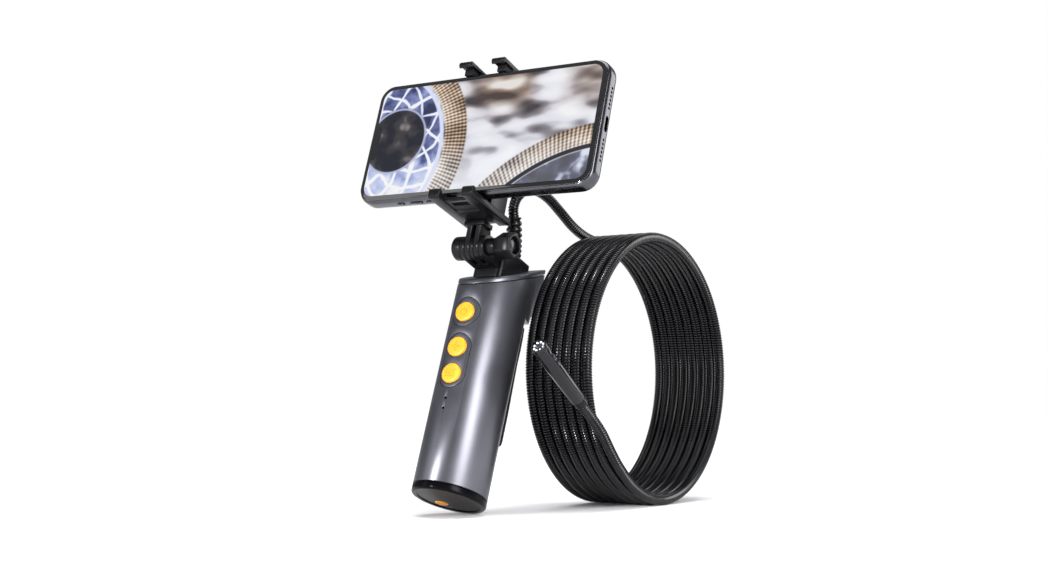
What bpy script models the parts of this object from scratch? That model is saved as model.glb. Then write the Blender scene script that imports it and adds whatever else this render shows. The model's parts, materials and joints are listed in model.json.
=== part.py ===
"""Handheld inspection camera: a leaning grip, a tilting screen clamp, a coiled cable and its probe.

Run with: blender --background --python part.py
The frame is in metres, +Z up, with the floor at z = 0 and the cable coil's axis along X.
"""
import math

import bmesh
import bpy
from mathutils import Matrix, Vector

MM = 0.001
GAP = 0.3 * MM

# Grip: an oval tube that leans back on the rear edge of its foot
LEAN = math.radians(21.2)
GRIP_X = -7.2 * MM
GRIP_Y = -30.9 * MM
GRIP_HALF_WIDTH = 18.5 * MM
GRIP_HALF_DEPTH = 21.9 * MM
GRIP_WALL = 2.4 * MM
GRIP_SEGMENTS = 48
FOOT_CHAMFER = 1.0 * MM
FOOT_HEIGHT = 4.0 * MM
GRIP_Z = (GRIP_HALF_DEPTH - FOOT_CHAMFER) * math.sin(LEAN)

# Slanted top of the grip, as a height at the axis and a rise per unit of depth
SEAM_HEIGHT = 124.3 * MM
SEAM_SLOPE = 0.56
CAP_THICKNESS = 3.2 * MM
BEAK_HALF_WIDTH = 11.2 * MM
BEAK_REACH = 31.8 * MM

# Rear rubber pad
PAD_LOW = 36.0 * MM
PAD_HIGH = 104.0 * MM
PAD_SEAT = 15.6 * MM
PAD_HALF_WIDTH = 13.0 * MM
PAD_PROFILE = (
    (36.4, 20.6), (39.0, 21.9), (55.0, 21.8), (72.0, 20.3),
    (82.0, 19.1), (91.0, 20.3), (98.0, 19.6), (103.0, 18.2),
)

# Buttons on the front, as heights along the grip
BUTTON_RADIUS = 5.4 * MM
BUTTON_PROUD = 0.9 * MM
BUTTON_HEIGHTS = {"button_power": 96.3 * MM, "button_light": 76.5 * MM, "button_capture": 61.7 * MM}
UPPER_BEZEL = (88.2 * MM, 104.6 * MM, 8.0 * MM)
LOWER_BEZEL = (54.0 * MM, 84.2 * MM, 7.4 * MM)
LIGHT_HEIGHTS = (48.2 * MM, 42.6 * MM)
LIGHT_RADIUS = 0.9 * MM

# Cable stem and tilt hinge, in the grip's own frame
STEM_HALF_WIDTH = 9.4 * MM
STEM_FRONT = -11.0 * MM
STEM_REAR = 17.0 * MM
STEM_TOP = 139.3 * MM
STEM_CHAMFER = 2.3 * MM
HINGE_S = -23.2 * MM
HINGE_H = 132.8 * MM
BARREL_RADIUS = 6.5 * MM
BOLT_RADIUS = 2.0 * MM
FIN_INNER = 1.3 * MM
FIN_OUTER = 4.3 * MM
KNUCKLE_OUTER = 7.4 * MM
NUT_CAP_LENGTH = 5.6 * MM
COLLAR_LENGTH = 5.0 * MM
KNOB_LENGTH = 10.6 * MM
KNOB_CORNER_RADIUS = 7.5 * MM

# Screen clamp, in the screen's own frame: x along it, y backwards, z up its face
SCREEN_LEAN = math.radians(18.9)
SCREEN_CENTRE = (0.0, -13.64 * MM, 199.96 * MM)
PHONE_LENGTH = 146.0 * MM
PHONE_HEIGHT = 72.5 * MM
PHONE_DEPTH = 10.4 * MM
PHONE_CORNER = 9.5 * MM
CLAMP_X = -5.1 * MM
RAIL_OFFSET = 10.4 * MM
RAIL_HALF_WIDTH = 3.3 * MM
RAIL_FRONT = -8.0 * MM
RAIL_REAR = 31.0 * MM
RAIL_TOP = -37.2 * MM
RAIL_BOTTOM = -40.7 * MM
LIP_TOP = RAIL_TOP + 2.0 * MM
CLAMP_HALF_WIDTH = 13.0 * MM
CLAMP_FRONT = 11.3 * MM
CLAMP_REAR = 25.9 * MM
CLAMP_HIGH = 18.0 * MM
JAW_UNDER = 40.4 * MM
JAW_TOP = 42.7 * MM
JAW_HALF_WIDTH = 9.6 * MM
JAW_FRONT = 14.4 * MM
JAW_REAR = 22.8 * MM
JAW_LOW = -10.0 * MM
JAW_PLATE_REAR = 15.0 * MM
HOOK_FRONT = -4.4 * MM
HOOK_HALF_WIDTH = 3.9 * MM
HOOK_DROOP = 3.9 * MM

# Cable, its coil standing on edge and turned a little, and the probe
CABLE_DIAMETER = 5.8 * MM
COIL_RADIUS = 74.0 * MM
COIL_Y = 97.2 * MM
COIL_X = 28.95 * MM
COIL_TURN = math.radians(-2.5)
COIL_FAR = 11.0 * MM
COIL_NEAR = 46.5 * MM
COIL_Z = COIL_RADIUS + CABLE_DIAMETER / 2
RELIEF_X = -6.7 * MM
RELIEF_SEAT = (10.0 * MM, STEM_TOP + 0.3 * MM)
RELIEF_RISE = 10.0 * MM
RELIEF_TIP = Vector((RELIEF_X, 31.2 * MM, 159.5 * MM))
RELIEF_RIBS = 7
RELIEF_RADIUS = 4.7 * MM
LEAD_ROUTE = (
    (-6.7, 31.1, 160.9), (-6.7, 30.9, 164.7), (-6.0, 33.2, 170.4), (-4.0, 38.6, 174.9), (-1.0, 46.4, 175.5),
    (2.0, 54.4, 171.8), (5.0, 63.6, 164.6), (6.9, 73.4, 158.8), (8.2, 83.0, 156.4),
)
PROBE_TAIL = Vector((47.5, 11.3, 56.5)) * MM
PROBE_TIP = Vector((45.0, -28.7, 86.4)) * MM
PROBE_RADIUS = 4.2 * MM
PROBE_ROUTE = (
    (47.55, 11.6, 56.3), (48.2, 19.5, 50.2), (49.6, 28.5, 41.6), (50.1, 37.0, 32.0), (50.6, 46.0, 22.9),
    (51.2, 60.6, 12.4), (51.9, 77.8, 5.5), (52.5, 92.0, 3.2),
)

COLOURS = {
    "gunmetal": ((0.13, 0.13, 0.15), 0.34, 0.9),
    "black_plastic": ((0.018, 0.018, 0.02), 0.45, 0.0),
    "gloss_black": ((0.012, 0.012, 0.014), 0.15, 0.0),
    "rubber": ((0.02, 0.02, 0.021), 0.75, 0.0),
    "amber_plastic": ((0.9, 0.36, 0.02), 0.4, 0.0),
    "steel": ((0.55, 0.55, 0.57), 0.25, 1.0),
    "board_green": ((0.02, 0.12, 0.05), 0.5, 0.0),
    "cell_wrap": ((0.05, 0.1, 0.3), 0.4, 0.0),
    "screen_glass": ((0.05, 0.05, 0.06), 0.05, 0.0),
    "phone_metal": ((0.25, 0.25, 0.27), 0.25, 1.0),
    "lens_glass": ((0.1, 0.1, 0.12), 0.03, 0.0),
    "light_lens": ((0.85, 0.85, 0.8), 0.2, 0.0),
}


def clear_scene():
    for old in list(bpy.data.objects):
        bpy.data.objects.remove(old, do_unlink=True)


def material(name):
    found = bpy.data.materials.get(name)
    if found:
        return found
    colour, roughness, metallic = COLOURS[name]
    made = bpy.data.materials.new(name)
    made.use_nodes = True
    shader = made.node_tree.nodes["Principled BSDF"]
    shader.inputs["Base Color"].default_value = (*colour, 1.0)
    shader.inputs["Roughness"].default_value = roughness
    shader.inputs["Metallic"].default_value = metallic
    return made


def make(name, bm, finish, parent=None, smooth=True):
    """Turn a bmesh into a named object under its frame."""
    bmesh.ops.recalc_face_normals(bm, faces=bm.faces)
    mesh = bpy.data.meshes.new(name)
    bm.to_mesh(mesh)
    bm.free()
    if smooth:
        mesh.shade_smooth()
        mesh.set_sharp_from_angle(angle=math.radians(35))
    obj = bpy.data.objects.new(name, mesh)
    bpy.context.scene.collection.objects.link(obj)
    obj.data.materials.append(material(finish))
    obj.parent = parent
    return obj


def make_cutter(name, bm, parent=None):
    cutter = make(name, bm, "steel", parent, smooth=False)
    cutter.hide_render = True
    cutter.display_type = "WIRE"
    return cutter


def boolean(obj, other, operation):
    """Cut, join or intersect an object with another one."""
    step = obj.modifiers.new(other.name, "BOOLEAN")
    step.operation = operation
    step.solver = "EXACT"
    step.object = other


def frame(name, location, lean):
    """An empty whose Z axis leans back by an angle."""
    empty = bpy.data.objects.new(name, None)
    bpy.context.scene.collection.objects.link(empty)
    empty.location = location
    empty.rotation_euler = (-lean, 0, 0)
    return empty


def loft(bm, rings):
    """Skin a list of equal rings of points and cap both ends."""
    rows = [[bm.verts.new(point) for point in ring] for ring in rings]
    count = len(rows[0])
    for low, high in zip(rows, rows[1:]):
        for i in range(count):
            j = (i + 1) % count
            bm.faces.new((low[i], low[j], high[j], high[i]))
    bm.faces.new(rows[0])
    bm.faces.new(rows[-1])


def box(bm, low, high):
    x0, y0, z0 = low
    x1, y1, z1 = high
    loft(bm, [[(x0, y0, z), (x1, y0, z), (x1, y1, z), (x0, y1, z)] for z in (z0, z1)])


def turned(bm, start, end, profile, segments=24):
    """Turn a profile of (fraction along, radius) points about the line from start to end."""
    start = Vector(start)
    along = Vector(end) - start
    side = along.orthogonal().normalized()
    other = along.normalized().cross(side)
    rings = []
    for fraction, radius in profile:
        centre = start + along * fraction
        ring = []
        for i in range(segments):
            turn = 2 * math.pi * i / segments
            ring.append(centre + side * (radius * math.cos(turn)) + other * (radius * math.sin(turn)))
        rings.append(ring)
    loft(bm, rings)


def rod(bm, start, end, radius, segments=24):
    turned(bm, start, end, ((0, radius), (1, radius)), segments)


def prism_x(bm, outline, x0, x1):
    """Extrude an outline of (y, z) points between two x planes."""
    loft(bm, [[(x, y, z) for y, z in outline] for x in (x0, x1)])


def rounded_rect(half_a, half_b, radius, steps=5):
    """Corner-rounded rectangle as a list of (a, b) points."""
    points = []
    for corner, (sa, sb) in enumerate(((1, 1), (-1, 1), (-1, -1), (1, -1))):
        for k in range(steps + 1):
            turn = math.pi / 2 * (corner + k / steps)
            a = sa * (half_a - radius) + radius * math.cos(turn)
            b = sb * (half_b - radius) + radius * math.sin(turn)
            points.append((a, b))
    return points


def oval(inset=0.0):
    """Points of the grip's oval section, drawn in by an inset."""
    points = []
    for i in range(GRIP_SEGMENTS):
        turn = 2 * math.pi * i / GRIP_SEGMENTS
        x = (GRIP_HALF_WIDTH - inset) * math.cos(turn)
        y = (GRIP_HALF_DEPTH - inset) * math.sin(turn)
        points.append((x, y))
    return points


def seam(y):
    return SEAM_HEIGHT + SEAM_SLOPE * y


def top_wedge(name, grip, low_rise, high_rise):
    """A slab that keeps what lies between two planes parallel to the slanted seam."""
    near, far = -60 * MM, 60 * MM
    lows = [-20 * MM if low_rise is None else seam(y) + low_rise for y in (near, far)]
    outline = [(near, lows[0]), (far, lows[1]), (far, seam(far) + high_rise),
               (near, seam(near) + high_rise)]
    bm = bmesh.new()
    prism_x(bm, outline, -60 * MM, 60 * MM)
    return make_cutter(name, bm, grip)


def outer_body(name, finish, grip, low, high):
    """The grip's oval outside joined with its rear beak, as one solid."""
    bm = bmesh.new()
    loft(bm, [[(x, y, z) for x, y in oval()] for z in (low, high)])
    body = make(name, bm, finish, grip)
    plan = rounded_rect(BEAK_HALF_WIDTH, BEAK_REACH / 2, 4.5 * MM)
    bm = bmesh.new()
    loft(bm, [[(a, b + BEAK_REACH / 2, z) for a, b in plan] for z in (90 * MM, 170 * MM)])
    beak = make_cutter(name + "_beak", bm, grip)
    side = [(5, 170), (45, 170), (45, 118), (30, 117.5), (25, 113.5), (20.5, 108.5), (18.5, 103.6),
            (5, 103.6)]
    bm = bmesh.new()
    prism_x(bm, [(y * MM, z * MM) for y, z in side], -40 * MM, 40 * MM)
    boolean(beak, make_cutter(name + "_beak_side", bm, grip), "INTERSECT")
    boolean(body, beak, "UNION")
    return body


def pill_cutter(name, grip, low, high, half_width):
    """A front-facing prism with a round-ended face."""
    outline = rounded_rect(half_width, (high - low) / 2, half_width * 0.98, 6)
    middle = (high + low) / 2
    bm = bmesh.new()
    loft(bm, [[(a, y, b + middle) for a, b in outline] for y in (-40 * MM, -8 * MM)])
    return make_cutter(name, bm, grip)


def build_shell(grip):
    shell = outer_body("grip_shell", "gunmetal", grip, FOOT_HEIGHT + GAP, 170 * MM)
    boolean(shell, top_wedge("shell_top", grip, None, -GAP / 2), "INTERSECT")
    bm = bmesh.new()
    loft(bm, [[(x, y, z) for x, y in oval(GRIP_WALL)] for z in (-5 * MM, 180 * MM)])
    boolean(shell, make_cutter("shell_hollow", bm, grip), "DIFFERENCE")
    bm = bmesh.new()
    half = PAD_HALF_WIDTH + GAP
    box(bm, (-half, PAD_SEAT, PAD_LOW), (half, 40 * MM, PAD_HIGH - 0.6 * MM))
    boolean(shell, make_cutter("pad_opening", bm, grip), "DIFFERENCE")
    for name, (low, high, half) in (("upper", UPPER_BEZEL), ("lower", LOWER_BEZEL)):
        opening = pill_cutter(name + "_opening", grip, low - GAP, high + GAP, half + GAP)
        boolean(shell, opening, "DIFFERENCE")
    for i, height in enumerate(LIGHT_HEIGHTS):
        bm = bmesh.new()
        rod(bm, (0, -40 * MM, height), (0, -10 * MM, height), LIGHT_RADIUS + 0.2 * MM, 12)
        boolean(shell, make_cutter(f"light_hole_{i}", bm, grip), "DIFFERENCE")
    return shell


def build_bezel(name, grip, low, high, half, heights):
    """A curved plate in the front wall, pierced for its buttons."""
    bm = bmesh.new()
    loft(bm, [[(x, y, z) for x, y in oval()] for z in (low - 5 * MM, high + 5 * MM)])
    plate = make(name, bm, "gunmetal", grip)
    bm = bmesh.new()
    loft(bm, [[(x, y, z) for x, y in oval(GRIP_WALL)] for z in (low - 9 * MM, high + 9 * MM)])
    boolean(plate, make_cutter(name + "_back", bm, grip), "DIFFERENCE")
    boolean(plate, pill_cutter(name + "_edge", grip, low, high, half), "INTERSECT")
    for height in heights:
        bm = bmesh.new()
        rod(bm, (0, -40 * MM, height), (0, -10 * MM, height), BUTTON_RADIUS + GAP, 32)
        boolean(plate, make_cutter(f"{name}_hole_{height:.3f}", bm, grip), "DIFFERENCE")
    return plate


def build_buttons(grip):
    """Domed round buttons with a flange behind the bezel, each on its own slide."""
    for name, height in BUTTON_HEIGHTS.items():
        front = -GRIP_HALF_DEPTH - BUTTON_PROUD
        rear = -GRIP_HALF_DEPTH + 5.4 * MM
        dome = 0.7 * MM / (rear - front)
        bm = bmesh.new()
        profile = ((0, BUTTON_RADIUS * 0.8), (dome, BUTTON_RADIUS), (1, BUTTON_RADIUS))
        turned(bm, (0, front, height), (0, rear, height), profile, 32)
        make(name, bm, "amber_plastic", grip)


def build_grip_inside(grip):
    """Board, tact switches, battery cell and the two light guides."""
    board_front = -13.4 * MM
    bm = bmesh.new()
    box(bm, (-11 * MM, board_front, 34 * MM), (11 * MM, board_front + 1.6 * MM, 108 * MM))
    make("circuit_board", bm, "board_green", grip, smooth=False)
    for name, height in BUTTON_HEIGHTS.items():
        bm = bmesh.new()
        box(bm, (-3 * MM, -15.5 * MM, height - 3 * MM), (3 * MM, board_front - GAP, height + 3 * MM))
        make(name.replace("button", "switch"), bm, "black_plastic", grip, smooth=False)
    bm = bmesh.new()
    rod(bm, (0, 2.2 * MM, 14 * MM), (0, 2.2 * MM, 79 * MM), 9 * MM)
    make("battery_cell", bm, "cell_wrap", grip)
    for name, height in zip(("light_guide_upper", "light_guide_lower"), LIGHT_HEIGHTS):
        bm = bmesh.new()
        rod(bm, (0, -GRIP_HALF_DEPTH - 0.1 * MM, height), (0, board_front - GAP, height), LIGHT_RADIUS, 12)
        make(name, bm, "light_lens", grip)


def build_grip_ends(grip):
    """Foot cap with its port plug, slanted top cap and rear rubber pad."""
    bm = bmesh.new()
    rings = []
    for inset, z in ((FOOT_CHAMFER, 0.0), (0.0, FOOT_CHAMFER), (0.0, FOOT_HEIGHT)):
        rings.append([(x, y, z) for x, y in oval(inset)])
    loft(bm, rings)
    foot = make("base_cap", bm, "gloss_black", grip)
    plug_x, plug_y, plug_radius = -8.2 * MM, 6.0 * MM, 3.8 * MM
    bm = bmesh.new()
    rod(bm, (plug_x, plug_y, -2 * MM), (plug_x, plug_y, 8 * MM), plug_radius + GAP)
    boolean(foot, make_cutter("plug_bore", bm, grip), "DIFFERENCE")
    bm = bmesh.new()
    rod(bm, (plug_x, plug_y, 0.4 * MM), (plug_x, plug_y, FOOT_HEIGHT), plug_radius)
    make("port_plug", bm, "amber_plastic", grip)

    cap = outer_body("top_cap", "gunmetal", grip, 60 * MM, 170 * MM)
    boolean(cap, top_wedge("cap_slab", grip, GAP / 2, CAP_THICKNESS), "INTERSECT")

    bm = bmesh.new()
    rings = []
    for z_mm, reach_mm in PAD_PROFILE:
        ring = []
        for i in range(17):
            x = PAD_HALF_WIDTH * math.cos(math.pi * i / 16)
            y = PAD_SEAT + GAP + 0.8 * MM + (reach_mm * MM - PAD_SEAT) * math.sin(math.pi * i / 16)
            ring.append((x, y, z_mm * MM))
        ring += [(-PAD_HALF_WIDTH, PAD_SEAT + GAP, z_mm * MM), (PAD_HALF_WIDTH, PAD_SEAT + GAP, z_mm * MM)]
        rings.append(ring)
    loft(bm, rings)
    make("grip_pad", bm, "rubber", grip)


def build_stem(grip):
    """Foot of the hinge: the cable stem on the cap and the forked arm that reaches forward."""
    stem_low = seam(STEM_FRONT) - 2 * MM
    plan = rounded_rect(STEM_HALF_WIDTH, (STEM_REAR - STEM_FRONT) / 2, 3.4 * MM)
    middle = (STEM_REAR + STEM_FRONT) / 2
    bm = bmesh.new()
    loft(bm, [[(a, b + middle, z) for a, b in plan] for z in (stem_low, STEM_TOP)])
    stem = make("cable_stem", bm, "black_plastic", grip)
    far, high = 60 * MM, 200 * MM
    side = [(-far, 0.0), (far, 0.0), (far, STEM_TOP - STEM_CHAMFER), (STEM_REAR, STEM_TOP - STEM_CHAMFER),
            (STEM_REAR - STEM_CHAMFER, STEM_TOP), (STEM_REAR - STEM_CHAMFER, high), (-far, high)]
    bm = bmesh.new()
    prism_x(bm, side, -far, far)
    boolean(stem, make_cutter("stem_profile", bm, grip), "INTERSECT")
    boolean(stem, top_wedge("stem_seat", grip, -60 * MM, CAP_THICKNESS + GAP), "DIFFERENCE")

    bm = bmesh.new()
    arm = []
    for k in range(13):
        turn = math.pi / 2 + math.pi * k / 12
        y = HINGE_S + BARREL_RADIUS * math.cos(turn)
        arm.append((y, HINGE_H + BARREL_RADIUS * math.sin(turn)))
    arm += [(STEM_FRONT - GAP, HINGE_H - BARREL_RADIUS), (STEM_FRONT - GAP, HINGE_H + BARREL_RADIUS)]
    prism_x(bm, arm, -KNUCKLE_OUTER, KNUCKLE_OUTER)
    fork = make("hinge_fork", bm, "black_plastic", grip)
    for side_sign in (-1, 1):
        bm = bmesh.new()
        inner, outer = sorted((side_sign * (FIN_INNER - GAP), side_sign * (FIN_OUTER + GAP)))
        slot_rear = HINGE_S + BARREL_RADIUS + 0.8 * MM
        box(bm, (inner, HINGE_S - 20 * MM, HINGE_H - 20 * MM), (outer, slot_rear, HINGE_H + 20 * MM))
        boolean(fork, make_cutter(f"fork_slot_{side_sign}", bm, grip), "DIFFERENCE")
    bm = bmesh.new()
    rod(bm, (-20 * MM, HINGE_S, HINGE_H), (20 * MM, HINGE_S, HINGE_H), BOLT_RADIUS + GAP)
    boolean(fork, make_cutter("fork_bore", bm, grip), "DIFFERENCE")


def build_hinge_hardware(grip):
    """Bolt, domed nut cap, collar and the hexagonal locking knob, all on the tilt axis."""
    def on_axis(x):
        return (x, HINGE_S, HINGE_H)

    left = -KNUCKLE_OUTER - GAP
    right = KNUCKLE_OUTER + GAP
    knob_start = right + COLLAR_LENGTH + GAP
    knob_end = knob_start + KNOB_LENGTH
    bm = bmesh.new()
    profile = ((0, BARREL_RADIUS * 0.82), (0.2, BARREL_RADIUS), (1, BARREL_RADIUS))
    turned(bm, on_axis(left - NUT_CAP_LENGTH), on_axis(left), profile, 32)
    cap = make("nut_cap", bm, "black_plastic", grip)
    bm = bmesh.new()
    rod(bm, on_axis(left - 3.4 * MM), on_axis(left + 5 * MM), 3.9 * MM, 6)
    boolean(cap, make_cutter("nut_pocket", bm, grip), "DIFFERENCE")
    bm = bmesh.new()
    rod(bm, on_axis(left - 3.1 * MM), on_axis(left - 0.1 * MM), 3.5 * MM, 6)
    nut = make("lock_nut", bm, "steel", grip, smooth=False)
    bm = bmesh.new()
    rod(bm, on_axis(left - 8 * MM), on_axis(left + 5 * MM), BOLT_RADIUS + GAP)
    boolean(nut, make_cutter("nut_bore", bm, grip), "DIFFERENCE")
    bm = bmesh.new()
    rod(bm, on_axis(right), on_axis(right + COLLAR_LENGTH), 4.7 * MM, 24)
    collar = make("hinge_collar", bm, "black_plastic", grip)
    bm = bmesh.new()
    rod(bm, on_axis(0), on_axis(right + 20 * MM), BOLT_RADIUS + GAP)
    boolean(collar, make_cutter("collar_bore", bm, grip), "DIFFERENCE")

    knob_frame = bpy.data.objects.new("knob_axis", None)
    bpy.context.scene.collection.objects.link(knob_frame)
    knob_frame.parent = grip
    knob_frame.location = on_axis(0)
    bm = bmesh.new()
    profile = ((0, KNOB_CORNER_RADIUS - 1.9 * MM), (0.28, KNOB_CORNER_RADIUS), (0.94, KNOB_CORNER_RADIUS),
               (1, KNOB_CORNER_RADIUS - 0.5 * MM))
    turned(bm, (knob_start, 0, 0), (knob_end, 0, 0), profile, 6)
    knob = make("lock_knob", bm, "black_plastic", knob_frame, smooth=False)
    bm = bmesh.new()
    rod(bm, (knob_end - 4.2 * MM, 0, 0), (knob_end + 5 * MM, 0, 0), 4.6 * MM)
    boolean(knob, make_cutter("knob_recess", bm, knob_frame), "DIFFERENCE")
    bm = bmesh.new()
    rod(bm, (knob_start - 5 * MM, 0, 0), (knob_end, 0, 0), BOLT_RADIUS + GAP)
    boolean(knob, make_cutter("knob_bore", bm, knob_frame), "DIFFERENCE")
    bm = bmesh.new()
    rod(bm, (left - 2.6 * MM, 0, 0), (knob_end - 3.2 * MM, 0, 0), BOLT_RADIUS, 16)
    head_start = knob_end - 3.9 * MM
    bolt = make("tilt_bolt", bm, "steel", knob_frame)
    bm = bmesh.new()
    rod(bm, (head_start, 0, 0), (head_start + 2.4 * MM, 0, 0), 3.6 * MM, 6)
    boolean(bolt, make_cutter("bolt_head", bm, knob_frame), "UNION")


def build_clamp(screen):
    """Lower half of the clamp: forked rails with lips, tray, slider housing and hinge fins."""
    bm = bmesh.new()
    box(bm, (CLAMP_X - CLAMP_HALF_WIDTH, CLAMP_FRONT, RAIL_BOTTOM),
        (CLAMP_X + CLAMP_HALF_WIDTH, CLAMP_REAR, CLAMP_HIGH))
    clamp = make("clamp_body", bm, "black_plastic", screen, smooth=False)
    lip = [(RAIL_FRONT, RAIL_BOTTOM + 1.2 * MM), (RAIL_FRONT + 1.2 * MM, RAIL_BOTTOM),
           (RAIL_REAR, RAIL_BOTTOM), (RAIL_REAR, RAIL_TOP), (RAIL_FRONT + 3.4 * MM, RAIL_TOP),
           (RAIL_FRONT + 2.8 * MM, LIP_TOP), (RAIL_FRONT + 0.9 * MM, LIP_TOP),
           (RAIL_FRONT, LIP_TOP - 1.0 * MM)]
    for side_sign in (-1, 1):
        centre = CLAMP_X + side_sign * RAIL_OFFSET
        bm = bmesh.new()
        prism_x(bm, lip, centre - RAIL_HALF_WIDTH, centre + RAIL_HALF_WIDTH)
        boolean(clamp, make_cutter(f"rail_{side_sign}", bm, screen), "UNION")
    bm = bmesh.new()
    box(bm, (CLAMP_X - 9 * MM, -1 * MM, RAIL_BOTTOM + 0.7 * MM),
        (CLAMP_X + 9 * MM, 29 * MM, RAIL_TOP - 0.6 * MM))
    boolean(clamp, make_cutter("tray", bm, screen), "UNION")
    bm = bmesh.new()
    box(bm, (CLAMP_X - 5 * MM, 1.5 * MM, -50 * MM), (CLAMP_X + 5 * MM, 5.5 * MM, -20 * MM))
    boolean(clamp, make_cutter("tray_slot", bm, screen), "DIFFERENCE")
    bm = bmesh.new()
    box(bm, (CLAMP_X - JAW_HALF_WIDTH - GAP, JAW_FRONT - GAP, -33 * MM),
        (CLAMP_X + JAW_HALF_WIDTH + GAP, JAW_REAR + GAP, 30 * MM))
    boolean(clamp, make_cutter("slider_bore", bm, screen), "DIFFERENCE")
    return clamp


def build_fins(screen, hinge_y, hinge_z):
    """Two fins under the clamp that turn between the fork's knuckles."""
    bm = bmesh.new()
    box(bm, (GRIP_X - 6.2 * MM, hinge_y - 7.4 * MM, RAIL_BOTTOM - 3.0 * MM),
        (GRIP_X + 6.2 * MM, hinge_y + 1.5 * MM, RAIL_BOTTOM - GAP))
    fins = make("hinge_fins", bm, "black_plastic", screen, smooth=False)
    outline = []
    for k in range(13):
        turn = math.pi + math.pi * k / 12
        outline.append((hinge_y + BARREL_RADIUS * math.cos(turn), hinge_z + BARREL_RADIUS * math.sin(turn)))
    root = RAIL_BOTTOM - 2.0 * MM
    outline += [(hinge_y + 3.0 * MM, root), (hinge_y - BARREL_RADIUS, root)]
    for side_sign in (-1, 1):
        inner, outer = sorted((side_sign * FIN_INNER, side_sign * FIN_OUTER))
        bm = bmesh.new()
        prism_x(bm, outline, GRIP_X + inner, GRIP_X + outer)
        boolean(fins, make_cutter(f"fin_{side_sign}", bm, screen), "UNION")
    bm = bmesh.new()
    rod(bm, (GRIP_X - 20 * MM, hinge_y, hinge_z), (GRIP_X + 20 * MM, hinge_y, hinge_z), BOLT_RADIUS + GAP)
    boolean(fins, make_cutter("fin_bore", bm, screen), "DIFFERENCE")


def build_jaw(screen):
    """Upper jaw: a stem in the housing, a bridge and two hooks over the screen's edge, with its spring."""
    step = CLAMP_HIGH + 1.0 * MM
    stem = [(JAW_FRONT, JAW_LOW), (JAW_REAR, JAW_LOW), (JAW_REAR, step + 1.0 * MM),
            (JAW_PLATE_REAR, step + 5.0 * MM), (JAW_PLATE_REAR, JAW_TOP), (CLAMP_FRONT, JAW_TOP),
            (CLAMP_FRONT, step), (JAW_FRONT, step)]
    bm = bmesh.new()
    prism_x(bm, stem, CLAMP_X - JAW_HALF_WIDTH, CLAMP_X + JAW_HALF_WIDTH)
    jaw = make("upper_jaw", bm, "black_plastic", screen, smooth=False)
    hook = [(HOOK_FRONT, JAW_TOP - 2.6 * MM), (HOOK_FRONT + 1.3 * MM, JAW_TOP - HOOK_DROOP),
            (HOOK_FRONT + 2.6 * MM, JAW_UNDER), (JAW_PLATE_REAR, JAW_UNDER), (JAW_PLATE_REAR, JAW_TOP),
            (HOOK_FRONT + 1.4 * MM, JAW_TOP), (HOOK_FRONT + 0.3 * MM, JAW_TOP - 0.9 * MM)]
    for side_sign in (-1, 1):
        centre = CLAMP_X + side_sign * RAIL_OFFSET
        bm = bmesh.new()
        prism_x(bm, hook, centre - HOOK_HALF_WIDTH, centre + HOOK_HALF_WIDTH)
        boolean(jaw, make_cutter(f"hook_{side_sign}", bm, screen), "UNION")
    centre_y = (JAW_FRONT + JAW_REAR) / 2
    steps = 10 * 10
    points = []
    for i in range(steps + 1):
        turn = 2 * math.pi * i / 10
        z = -32.2 * MM + 21.4 * MM * i / steps
        points.append((CLAMP_X + 2.9 * MM * math.cos(turn), centre_y + 2.9 * MM * math.sin(turn), z))
    tube("clamp_spring", points, 0.4 * MM, "steel", 1, screen)


def build_pads(screen):
    """Rubber pads on the rails and under the hooks."""
    edge = PHONE_HEIGHT / 2 + GAP
    for name, low, high in (("lower_pad", RAIL_TOP + 0.05 * MM, -edge),
                            ("upper_pad", edge, JAW_UNDER - 0.05 * MM)):
        for side_name, side_sign in (("left", -1), ("right", 1)):
            centre = CLAMP_X + side_sign * RAIL_OFFSET
            bm = bmesh.new()
            box(bm, (centre - 2.6 * MM, 0.6 * MM, low), (centre + 2.6 * MM, 8.4 * MM, high))
            make(f"{name}_{side_name}", bm, "rubber", screen, smooth=False)


def build_phone(screen):
    """The display: metal frame, front glass, back glass and side buttons."""
    half_l, half_h = PHONE_LENGTH / 2, PHONE_HEIGHT / 2
    glass = 1.0 * MM

    def slab(name, finish, y_insets):
        bm = bmesh.new()
        rings = []
        for y, inset in y_insets:
            points = rounded_rect(half_l - inset, half_h - inset, PHONE_CORNER - inset, 6)
            rings.append([(a, y, b) for a, b in points])
        loft(bm, rings)
        return make(name, bm, finish, screen)

    slab("phone_glass", "screen_glass", ((0.0, 1.3 * MM), (glass - GAP, 1.0 * MM)))
    slab("phone_frame", "phone_metal", ((glass, 1.0 * MM), (glass + 1.4 * MM, 0.0),
                                        (PHONE_DEPTH - 2.4 * MM, 0.0), (PHONE_DEPTH - 1.0 * MM, 1.0 * MM)))
    slab("phone_back", "gloss_black", ((PHONE_DEPTH - 1.0 * MM + GAP, 1.0 * MM), (PHONE_DEPTH, 1.4 * MM)))
    for name, start, end in (("phone_switch", -48.0, -43.5), ("phone_key_up", -39.5, -31.5),
                             ("phone_key_down", -29.0, -21.0)):
        bm = bmesh.new()
        box(bm, (start * MM, 4.3 * MM, -half_h - 0.7 * MM), (end * MM, 6.1 * MM, -half_h - 0.1 * MM))
        make(name, bm, "phone_metal", screen, smooth=False)


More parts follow.
